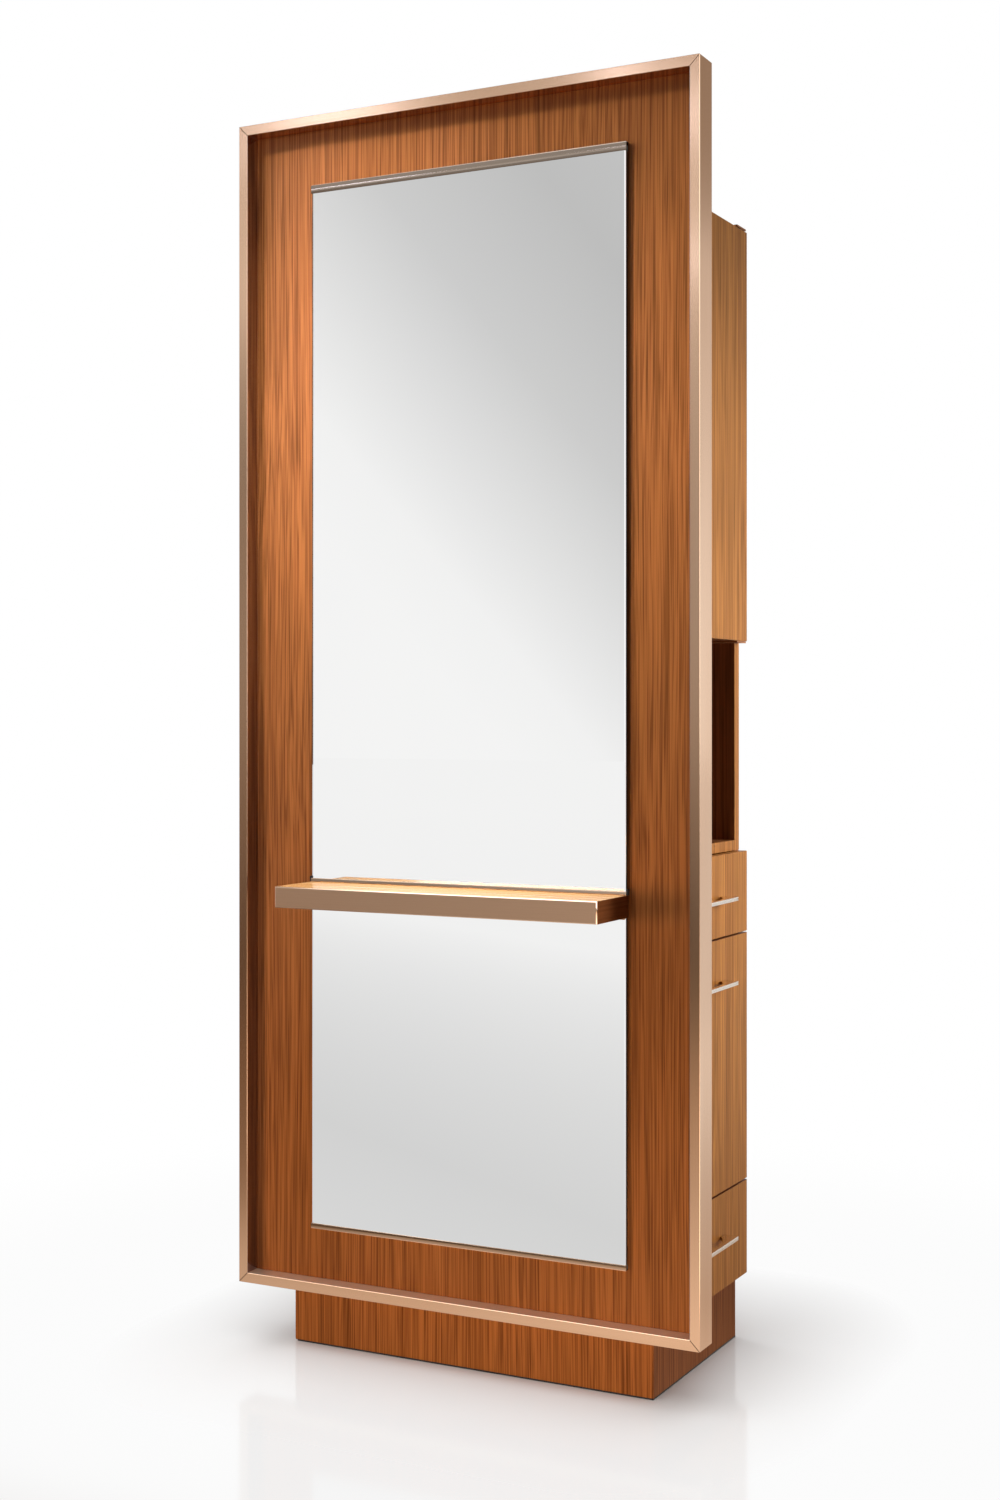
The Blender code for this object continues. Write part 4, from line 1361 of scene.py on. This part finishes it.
@dataclass
class Surroundings:
    """The white studio round the station.

    It is white to the camera. The station gets its fill from a lit backdrop and a dim front. Metal shows the
    backdrop, a bright band high up in front, and a window on the right and a skylight, both in front, which
    draw bright lines on its edges. The mirror shows the pale front wall.

    A place in the studio is the direction it lies in: X to the right, Y inwards and Z up, as parts of one.

    Attributes:
        back: level of the lit backdrop.
        front: level of the dim front.
        crown: level overhead.
        window: level that the window adds for shiny surfaces.
        skylight: level that the skylight adds for shiny surfaces.
        BEHIND: Y between which the front gives way to the backdrop.
        CROWN: Z between which the fill gives way to the level overhead.
        LEFT: what metal shows in front on the left, by Z.
        RIGHT: what it shows in front on the right, by Z.
        BACK: what it shows behind, by Z.
        ASIDE: X between which the front's left gives way to its right.
        WINDOW: X at which the window begins and is full.
        WINDOW_END: Y between which the window runs out.
        SKYLIGHT: Z at which the skylight begins and is full.
        SKYLIGHT_END: Y between which the skylight runs out.
        SLANT: the way along which the front wall is graded.
        WALL: what the mirror shows of the wall, along the slant.
        CORNER: X between which the dark far corner runs out, and the factor there and elsewhere.
    """

    back: float = 0.083
    front: float = 0.005
    crown: float = 0.01
    window: float = 2.0
    skylight: float = 2.4
    BEHIND: ClassVar[Pair] = (-0.2, 0.5)
    CROWN: ClassVar[Pair] = (0.12, 0.3)
    LEFT: ClassVar[Ramp] = ((0.05, 0.34, 0.16), (0.1, 0.22, 0.16), (0.16, 0.23, 0.13), (0.19, 1.0, 0.05),
                            (0.24, 0.72, 0.08), (0.3, 0.54, 0.08))
    RIGHT: ClassVar[Ramp] = ((0.0, 0.41, 0.12), (0.1, 0.46, 0.06), (0.18, 0.6, 0.06), (0.2, 0.76, 0.05),
                             (0.24, 0.88, 0.08), (0.3, 0.54, 0.08))
    BACK: ClassVar[Ramp] = ((0.05, 0.97, 0.04), (0.2, 0.7, 0.1), (0.22, 0.76, 0.1), (0.24, 0.45, 0.16),
                            (0.27, 0.35, 0.22))
    ASIDE: ClassVar[Pair] = (-0.57, -0.37)
    WINDOW: ClassVar[Pair] = (0.75, 0.88)
    WINDOW_END: ClassVar[Pair] = (-0.3, -0.15)
    SKYLIGHT: ClassVar[Pair] = (0.72, 0.84)
    SKYLIGHT_END: ClassVar[Pair] = (0.05, 0.25)
    SLANT: ClassVar[Triple] = (1.06, -0.563, 1.0)
    WALL: ClassVar[Ramp] = ((0.0, 0.97), (0.055, 0.945), (0.2, 0.65), (0.3, 0.55), (0.42, 0.6), (0.75, 1.0))
    CORNER: ClassVar[tuple[float, ...]] = (-0.95, -0.75, 0.1, 1.0)

    def build(self) -> None:
        """Fill the world with a level of its own for each kind of ray."""
        world = bpy.data.worlds.new("white_studio")
        bpy.context.scene.world = world
        world.use_nodes = True
        tree = world.node_tree
        shown = tree.nodes["Background"]
        rays = add_node(tree, "LightPath").outputs
        way = add_node(tree, "TexCoord").outputs["Generated"]
        part = add_node(tree, "SeparateXYZ", (way,)).outputs
        behind = add_node(tree, "MapRange", (part["Y"], *self.BEHIND),
                          interpolation_type="SMOOTHSTEP").outputs[0]
        fill = self.fill(tree, part["Z"], behind)
        seen = add_node(tree, "Mix", {0: fill, 6: BLACK, 7: linear(WARM)}, data_type="RGBA").outputs[2]
        for kind, other in (("Is Glossy Ray", self.gloss(tree, part, behind)),
                            ("Is Singular Ray", self.wall(tree, way)), ("Is Camera Ray", WHITE)):
            seen = add_node(tree, "Mix", {0: rays[kind], 6: seen, 7: other}, data_type="RGBA").outputs[2]
        tree.links.new(seen, shown.inputs["Color"])

    def fill(self, tree: Tree, height: Socket, behind: Socket) -> Socket:
        """Grade the fill light from the dim front to the lit back, and from the horizon up to the crown.

        Args:
            tree: the world's node tree.
            height: upward part of the direction looked at.
            behind: zero in front of the station and one behind it.

        Returns:
            The socket with the level.
        """
        depth = add_node(tree, "MapRange", {0: behind, 3: self.front, 4: self.back})
        rise = add_node(tree, "MapRange", (height, *self.CROWN), interpolation_type="SMOOTHSTEP")
        return add_node(tree, "Mix", {0: rise, 2: depth, 3: self.crown}).outputs[0]

    def gloss(self, tree: Tree, part: Any, behind: Socket) -> Socket:
        """Grade what metal shows: in front a dim horizon under a bright band, behind the backdrop's edge.

        The front is dimmer to the left. The window and the skylight are added on top.

        Args:
            tree: the world's node tree.
            part: sideways, inward and upward parts of the direction looked at.
            behind: zero in front of the station and one behind it.

        Returns:
            The socket with the colour.
        """
        left, right, back = (add_node(tree, "ValToRGB", (part["Z"],), ramp)
                             for ramp in (self.LEFT, self.RIGHT, self.BACK))
        side = add_node(tree, "MapRange", (part["X"], *self.ASIDE))
        front = add_node(tree, "Mix", {0: side, 6: left, 7: right}, data_type="RGBA")
        graded = add_node(tree, "Mix", {0: behind, 6: front.outputs[2], 7: back}, data_type="RGBA")
        ahead = add_node(tree, "MapRange", (part["Y"], *self.WINDOW_END, self.window, 0.0))
        window = add_node(tree, "MapRange", (part["X"], *self.WINDOW, 0.0, ahead))
        above = add_node(tree, "MapRange", (part["Y"], *self.SKYLIGHT_END, self.skylight, 0.0))
        skylight = add_node(tree, "MapRange", (part["Z"], *self.SKYLIGHT, 0.0, above))
        lit = add_node(tree, "Math", (window, skylight))
        return add_node(tree, "VectorMath", (graded.outputs[2], lit)).outputs[0]

    def wall(self, tree: Tree, way: Socket) -> Socket:
        """Grade the pale front wall, brightest low on the left, greyer up to the right, with a dark corner.

        Args:
            tree: the world's node tree.
            way: the direction looked at.

        Returns:
            The socket with the level.
        """
        slant = add_node(tree, "VectorMath", (way, self.SLANT), operation="DOT_PRODUCT").outputs["Value"]
        ramp = add_node(tree, "ValToRGB", (slant,), self.WALL)
        side = add_node(tree, "SeparateXYZ", (way,)).outputs["X"]
        corner = add_node(tree, "MapRange", (side, *self.CORNER))
        return add_node(tree, "Math", (ramp, corner), operation="MULTIPLY").outputs[0]


def sheet(name: str, points: np.ndarray) -> bpy.types.Object:
    """Make a surface of the studio from a grid of points, with one face between each four neighbours.

    Args:
        name: name of the surface.
        points: the points by row and column.

    Returns:
        The surface.
    """
    index = np.arange(points[..., 0].size).reshape(points.shape[:2])
    faces = np.stack([index[:-1, :-1], index[:-1, 1:], index[1:, 1:], index[1:, :-1]], axis=-1)
    mesh = bpy.data.meshes.new(name)
    mesh.from_pydata(points.reshape(-1, 3).tolist(), [], faces.reshape(-1, 4).tolist())
    surface = bpy.data.objects.new(name, mesh)
    bpy.context.scene.collection.objects.link(surface)
    LOG.info("%s set up", name)
    return surface


@dataclass
class StudioFloor:
    """A pale lacquered floor that runs out into white.

    Attributes:
        reach: half of its width.
        foot: middle of the station's footprint.
        half: half of the footprint's width and depth.
        shade: how far the shadow reaches out from the footprint.
        fade: distances at which images begin and end to run out into white.
        gleam: share of light that it reflects.
        blur: roughness of its images.
        bounce: how strongly it glows for diffuse rays near the station's foot, a painted bounce light.
        colour: its colour.
        cloud_colour: its colour where its faint cloud is full.
        cloud: the faint cloud.
        POINTS: points along each side of its grid.
        STRETCH: what the shadow's distances along X, Y and Z are counted times.
        POOL: distances at which that painted bounce glow begins and ends to fall off.
        POOL_END: what is left of it there.
        DEPTH: Y at which the grade that metal shows begins and ends.
        GRADE: that grade.
        SLANT: the way along which it is dimmed.
        ACROSS: where the dimming begins and ends on that way.
        DIM: that dimming.
        WINDOW: where the window's light begins and is full on that way.
        LEVEL: the factor beside the window's light.
        ASIDE: the way along which the window's light falls off.
        GLARE: where it begins and ends to fall off on that way, and its factors there.
        AWAY: the way along which the mirror's image of the floor is graded.
        IMAGE: that grade.
    """

    reach: float = 40.0
    foot: Triple = (-0.01, 0.07, 0.0)
    half: Triple = (0.34, 0.185, 1.0)
    shade: float = 0.44
    fade: Pair = (1.0, 1.9)
    gleam: float = 0.14
    blur: float = 0.1
    bounce: float = 0.66
    colour: str = "E8E8E8"
    cloud_colour: str = "EAEAEA"
    cloud: Streaks = Streaks(900.0, 900.0, 2.0)
    POINTS: ClassVar[int] = 5
    STRETCH: ClassVar[Triple] = (1.4, 1.0, 0.0)
    POOL: ClassVar[Pair] = (0.5, 1.3)
    POOL_END: ClassVar[float] = 0.05
    DEPTH: ClassVar[Pair] = (-10.0, 4.0)
    GRADE: ClassVar[Ramp] = ((0.0, 0.16, 0.2), (0.14, 0.07, 0.28), (0.41, 0.15, 0.32), (0.54, 0.48, 0.29),
                             (0.6, 0.57, 0.22), (0.675, 0.94, 0.17), (0.745, 0.58, 0.2), (0.8, 0.64, 0.12),
                             (0.87, 0.84, 0.05), (0.93, 0.9, 0.05), (1.0, 0.8, 0.06))
    SLANT: ClassVar[Triple] = (1.0, -0.4, 0.0)
    ACROSS: ClassVar[Pair] = (-2.6, 0.6)
    DIM: ClassVar[Ramp] = ((0.065, 0.95, 0.12), (0.375, 0.33, 0.16), (0.61, 0.3, 0.16), (0.65, 0.5),
                           (0.845, 0.61), (0.95, 0.72))
    WINDOW: ClassVar[Pair] = (1.0, 1.4)
    LEVEL: ClassVar[float] = 1.39
    ASIDE: ClassVar[Triple] = (0.45, 0.89, 0.0)
    GLARE: ClassVar[tuple[float, ...]] = (0.2, 0.6, 5.0, 2.1)
    AWAY: ClassVar[Triple] = (0.05, -1 / 12, 0.0)
    IMAGE: ClassVar[Ramp] = ((0.03, 0.73), (0.085, 0.69), (0.265, 0.85), (0.36, 0.945), (1.0, 0.955))

    def build(self) -> bpy.types.Object:
        """Lay the floor as a flat grid of two parameters, x and y, at height zero.

        Returns:
            The floor.
        """
        side = np.linspace(-self.reach, self.reach, self.POINTS)
        x, y = np.meshgrid(side, side)
        floor = sheet("studio_floor", np.stack([x, y, np.zeros_like(x)], axis=-1))
        floor.data.materials.append(self.material())
        return floor

    def material(self) -> bpy.types.Material:
        """Make the floor's lacquer: it takes shadows and faint images, and runs out into white.

        Returns:
            The floor's material.
        """
        made = bpy.data.materials.new("pale_floor_lacquer")
        made.use_nodes = True
        tree = made.node_tree
        tree.nodes.remove(tree.nodes["Principled BSDF"])
        rays = add_node(tree, "LightPath").outputs
        spot = add_node(tree, "TexCoord").outputs["Object"]
        tint = add_node(tree, "Mix", {0: self.cloud.draw(tree, spot), 6: linear(self.colour),
                                      7: linear(self.cloud_colour)}, data_type="RGBA")
        away = add_node(tree, "VectorMath", (spot,), operation="LENGTH").outputs["Value"]
        matt = add_node(tree, "BsdfDiffuse", {"Color": tint.outputs[2]})
        gloss = add_node(tree, "BsdfGlossy", {"Roughness": self.blur})
        white = add_node(tree, "Emission", {"Strength": 1.0})
        clear = add_node(tree, "MapRange", (self.clearance(tree, spot), 0.0, self.shade))
        out = add_node(tree, "MapRange", (away, *self.fade), interpolation_type="SMOOTHSTEP")
        surface = matt
        for share, other in ((clear, white), (self.gleam, gloss), (out, white)):
            surface = add_node(tree, "MixShader", (share, surface, other))
        # Painted light: to diffuse rays the floor glows warm near the station's foot, a painted bounce, and
        # metal and the mirror see painted glowing grades instead of the lacquer.
        pool = add_node(tree, "MapRange", (away, *self.POOL, self.bounce, self.POOL_END))
        bounced = add_node(tree, "Mix", {0: pool, 6: BLACK, 7: linear(WARM)}, data_type="RGBA").outputs[2]
        for kind, level in (("Is Diffuse Ray", bounced), ("Is Glossy Ray", self.gloss(tree, spot)),
                            ("Is Singular Ray", self.image(tree, spot))):
            glow = add_node(tree, "Emission", {"Color": level})
            surface = add_node(tree, "MixShader", (rays[kind], surface, glow))
        tree.links.new(surface.outputs[0], tree.nodes["Material Output"].inputs["Surface"])
        return made

    def clearance(self, tree: Tree, spot: Socket) -> Socket:
        """Measure how far a place is from the station's footprint.

        The offset from the footprint's middle, less half of its size on each axis, is cut off at zero; its
        length, with each part counted as often as the stretch says, is the distance.

        Args:
            tree: the floor's node tree.
            spot: place on the floor.

        Returns:
            The socket with the distance.
        """
        offset = add_node(tree, "VectorMath", (spot, self.foot), operation="SUBTRACT")
        size = add_node(tree, "VectorMath", (offset,), operation="ABSOLUTE")
        beyond = add_node(tree, "VectorMath", (size, self.half), operation="SUBTRACT")
        kept = add_node(tree, "VectorMath", (beyond, (0.0, 0.0, 0.0)), operation="MAXIMUM")
        scaled = add_node(tree, "VectorMath", (kept, self.STRETCH), operation="MULTIPLY")
        return add_node(tree, "VectorMath", (scaled,), operation="LENGTH").outputs["Value"]

    def gloss(self, tree: Tree, spot: Socket) -> Socket:
        """Grade the painted glow that metal sees of the floor: bright close by and behind, dim far in front
        and on the left.

        The grade runs along Y. It is multiplied by a factor that runs along the slant, dim on the left, and
        by painted window light, a bright pool on the right that is strongest in front.

        Args:
            tree: the floor's node tree.
            spot: place on the floor.

        Returns:
            The socket with the level.
        """
        depth = add_node(tree, "SeparateXYZ", (spot,)).outputs["Y"]
        grade = add_node(tree, "ValToRGB", (add_node(tree, "MapRange", (depth, *self.DEPTH)),), self.GRADE)
        slant, aside = (add_node(tree, "VectorMath", (spot, way), operation="DOT_PRODUCT").outputs["Value"]
                        for way in (self.SLANT, self.ASIDE))
        dim = add_node(tree, "ValToRGB", (add_node(tree, "MapRange", (slant, *self.ACROSS)),), self.DIM)
        glare = add_node(tree, "MapRange", (aside, *self.GLARE))
        window = add_node(tree, "MapRange", (slant, *self.WINDOW, self.LEVEL, glare))
        shaded = add_node(tree, "VectorMath", (grade, dim), operation="MULTIPLY")
        return add_node(tree, "VectorMath", (shaded, window), operation="MULTIPLY").outputs[0]

    def image(self, tree: Tree, spot: Socket) -> Socket:
        """Grade the painted glow that the mirror sees of the floor: greyer close by, paler far out and to the
        right.

        Args:
            tree: the floor's node tree.
            spot: place on the floor.

        Returns:
            The socket with the level.
        """
        away = add_node(tree, "VectorMath", (spot, self.AWAY), operation="DOT_PRODUCT").outputs["Value"]
        return add_node(tree, "ValToRGB", (away,), self.IMAGE).outputs[0]


@dataclass
class Backdrop:
    """A low white screen behind the station, which only shiny surfaces show.

    Attributes:
        behind: how far behind the middle of the station it stands.
        ends: where it begins on the left and ends on the right.
        top: its height.
        POINTS: points along each side of its grid.
    """

    behind: float = 3.0
    ends: Pair = (-8.0, 0.9)
    top: float = 1.9
    POINTS: ClassVar[int] = 3

    def build(self) -> None:
        """Stand the screen up as a flat grid of two parameters, x and z, that gives off its own light."""
        x, z = np.meshgrid(np.linspace(*self.ends, self.POINTS), np.linspace(0.0, self.top, self.POINTS))
        screen = sheet("studio_screen", np.stack([x, np.full_like(x, self.behind), z], axis=-1))
        paper = bpy.data.materials.new("lit_white_paper")
        paper.use_nodes = True
        tree = paper.node_tree
        glow = add_node(tree, "Emission", {"Strength": 1.0})
        tree.links.new(glow.outputs[0], tree.nodes["Material Output"].inputs["Surface"])
        screen.data.materials.append(paper)
        screen.visible_camera = screen.visible_diffuse = screen.visible_shadow = False


@dataclass
class Viewpoint:
    """The camera, level, at the height of a standing viewer's chest.

    Attributes:
        stand: where it stands.
        heading: how far it is turned to the left of the wall's direction, in degrees.
        film: long side of the picture on the film, in millimetres.
        lens: focal length in millimetres.
        drop: downward shift of the picture, as a share of its long side.
        sight: how far it sees.
    """

    stand: Triple = (1.59145, -3.10211, 1.10273)
    heading: float = 27.21
    film: float = 36.0
    lens: float = 48.296
    drop: float = -0.02397
    sight: float = 200.0

    def build(self) -> None:
        """Set up the camera and make it the scene's own."""
        data = bpy.data.cameras.new("viewpoint")
        data.sensor_fit = "AUTO"
        data.sensor_width = self.film
        data.lens = self.lens
        data.shift_y = self.drop
        data.clip_end = self.sight
        camera = bpy.data.objects.new("viewpoint", data)
        camera.location = self.stand
        camera.rotation_euler = (math.pi / 2, 0.0, math.radians(self.heading))
        bpy.context.scene.collection.objects.link(camera)
        bpy.context.scene.camera = camera


class Studio:
    """Floor, surroundings, lamps and camera."""

    LAMPS = (
        Softbox("key_left", (-1.15, -1.6, 3.5), (-0.36, -0.14, 1.6), (0.25, 0.25), 1.3, 28.0),
        Softbox("key_right", (-1.9, -1.5, 3.3), (0.3, -0.14, 1.62), (0.25, 0.25), 2.0, 23.0),
        Softbox("key_high", (-0.9, -1.4, 4.2), (0.0, -0.14, 1.5), (0.4, 0.4), 1.2, 60.0),
        Softbox("pool_left", (-0.2, -3.2, 2.4), (-0.38, -0.14, 1.55), (0.4, 0.4), 1.0, 21.0),
        Softbox("rake_high", (-2.4, -0.9, 2.6), (0.3, -0.14, 1.7), (0.5, 0.5), 3.4, 40.0),
        Softbox("fill_low", (-1.55, -2.3, 0.7), (0.0, -0.14, 0.6), (0.6, 0.8), 3.3, 60.0, AMBER),
        Softbox("foot_fill", (0.7, -1.6, 0.18), (0.3, -0.14, 0.16), (1.2, 0.2), 1.1, 60.0, WARM),
        Softbox("back_fill", (-0.6, 3.2, 1.9), (0.0, 0.25, 1.0), (1.6, 1.6), 40.0),
        Softbox("shelf_spot", (0.0, -0.34, 3.0), (0.0, -0.2, 0.85), (0.4, 0.1), 2.75, 30.0),
    )
    SIDES = (
        Softbox("side_wide", (1.9, 0.5, 1.45), (0.35, 0.1, 1.15), (0.9, 1.0), 6.8, 70.0),
        Softbox("side_low", (1.9, 0.5, 0.6), (0.35, 0.1, 0.45), (0.6, 0.6), 0.65, 50.0),
    )
    GLINTS = (
        Softbox("glint_top_left", (-2.045, -3.102, 3.14), (-0.23, -0.167, 2.12), (0.42, 0.1), 0.72),
        Softbox("glint_top_right", (-1.0, -3.102, 3.14), (0.31, -0.167, 2.12), (0.1, 0.1), 0.2),
        Softbox("glint_corner", (-0.73, -3.102, 2.985), (0.425, -0.167, 2.04), (0.15, 0.08), 0.16),
        Softbox("glint_right", (-0.73, -3.102, 2.517), (0.425, -0.167, 1.81), (0.15, 0.08), 0.1),
        Softbox("glint_left", (-2.45, -3.102, 3.08), (-0.425, -0.167, 2.09), (0.15, 0.08), 0.055),
    )
    SKY = Softbox("floor_sky", (0.05, -1.2, 3.6), (0.05, -1.2, 0.0), (5.0, 5.0), 276.0)
    GLEAM = Softbox("shelf_gleam", (-1.25, -3.1, 1.1), (0.0, -0.2, 0.81), (0.9, 0.12), 2.0)
    POLISH = Softbox("panel_sheen", (-2.31, -3.1, 2.4), (-0.36, -0.136, 1.75), (0.8, 0.5), 13.0)

    def build(self) -> None:
        """Set everything up and keep colours as they are written."""
        bpy.context.scene.view_settings.view_transform = "Standard"
        floor = StudioFloor().build()
        Backdrop().build()
        Surroundings().build()
        panes = [bpy.data.objects[name + "_mirror_pane"] for name in ("upper", "lower")]
        for lamp in self.LAMPS:
            self.link(lamp.build(), [floor], "EXCLUDE")
        for lamp in self.SIDES:
            self.link(lamp.build(), [floor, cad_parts["plinth_right"]], "EXCLUDE")
        for lamp in self.GLINTS:
            self.link(replace(lamp, colour=COOL, reach=Reach.SHINY).build(), [floor, *panes], "EXCLUDE")
        self.link(self.SKY.build(), [floor], "INCLUDE")
        for lamp, node in ((self.GLEAM, "shelf_board"), (self.POLISH, "mirror_panel")):
            self.link(replace(lamp, reach=Reach.SHINY).build(), [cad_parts[node]], "INCLUDE")
        Viewpoint().build()

    def link(self, lamp: bpy.types.Object, pieces: list[bpy.types.Object], state: str) -> None:
        """Let a lamp light all but some pieces, or these alone.

        Args:
            lamp: the lamp.
            pieces: the pieces.
            state: EXCLUDE to leave the pieces out, INCLUDE to light nothing else.
        """
        lit = bpy.data.collections.new(lamp.name + "_receivers")
        for piece in pieces:
            lit.objects.link(piece)
        for entry in lit.collection_objects:
            entry.light_linking.link_state = state
        lamp.light_linking.receiver_collection = lit


def main() -> None:
    """Dress the station, assembly by assembly, and set up the studio."""
    logging.basicConfig(level=logging.INFO)
    bumper = Fastener(radius=3.5 * MM, rise=1.2 * MM)
    drawers = [Drawer("bottom_drawer", bumper, True), Drawer("tool_drawer", bumper, True),
               Drawer("top_drawer", bumper, False)]
    for assembly in [Surround(), MirrorWall(), Shelf(), Cabinet(), Door(bumper), *drawers, Studio()]:
        assembly.build()


if __name__ == "__main__":
    main()
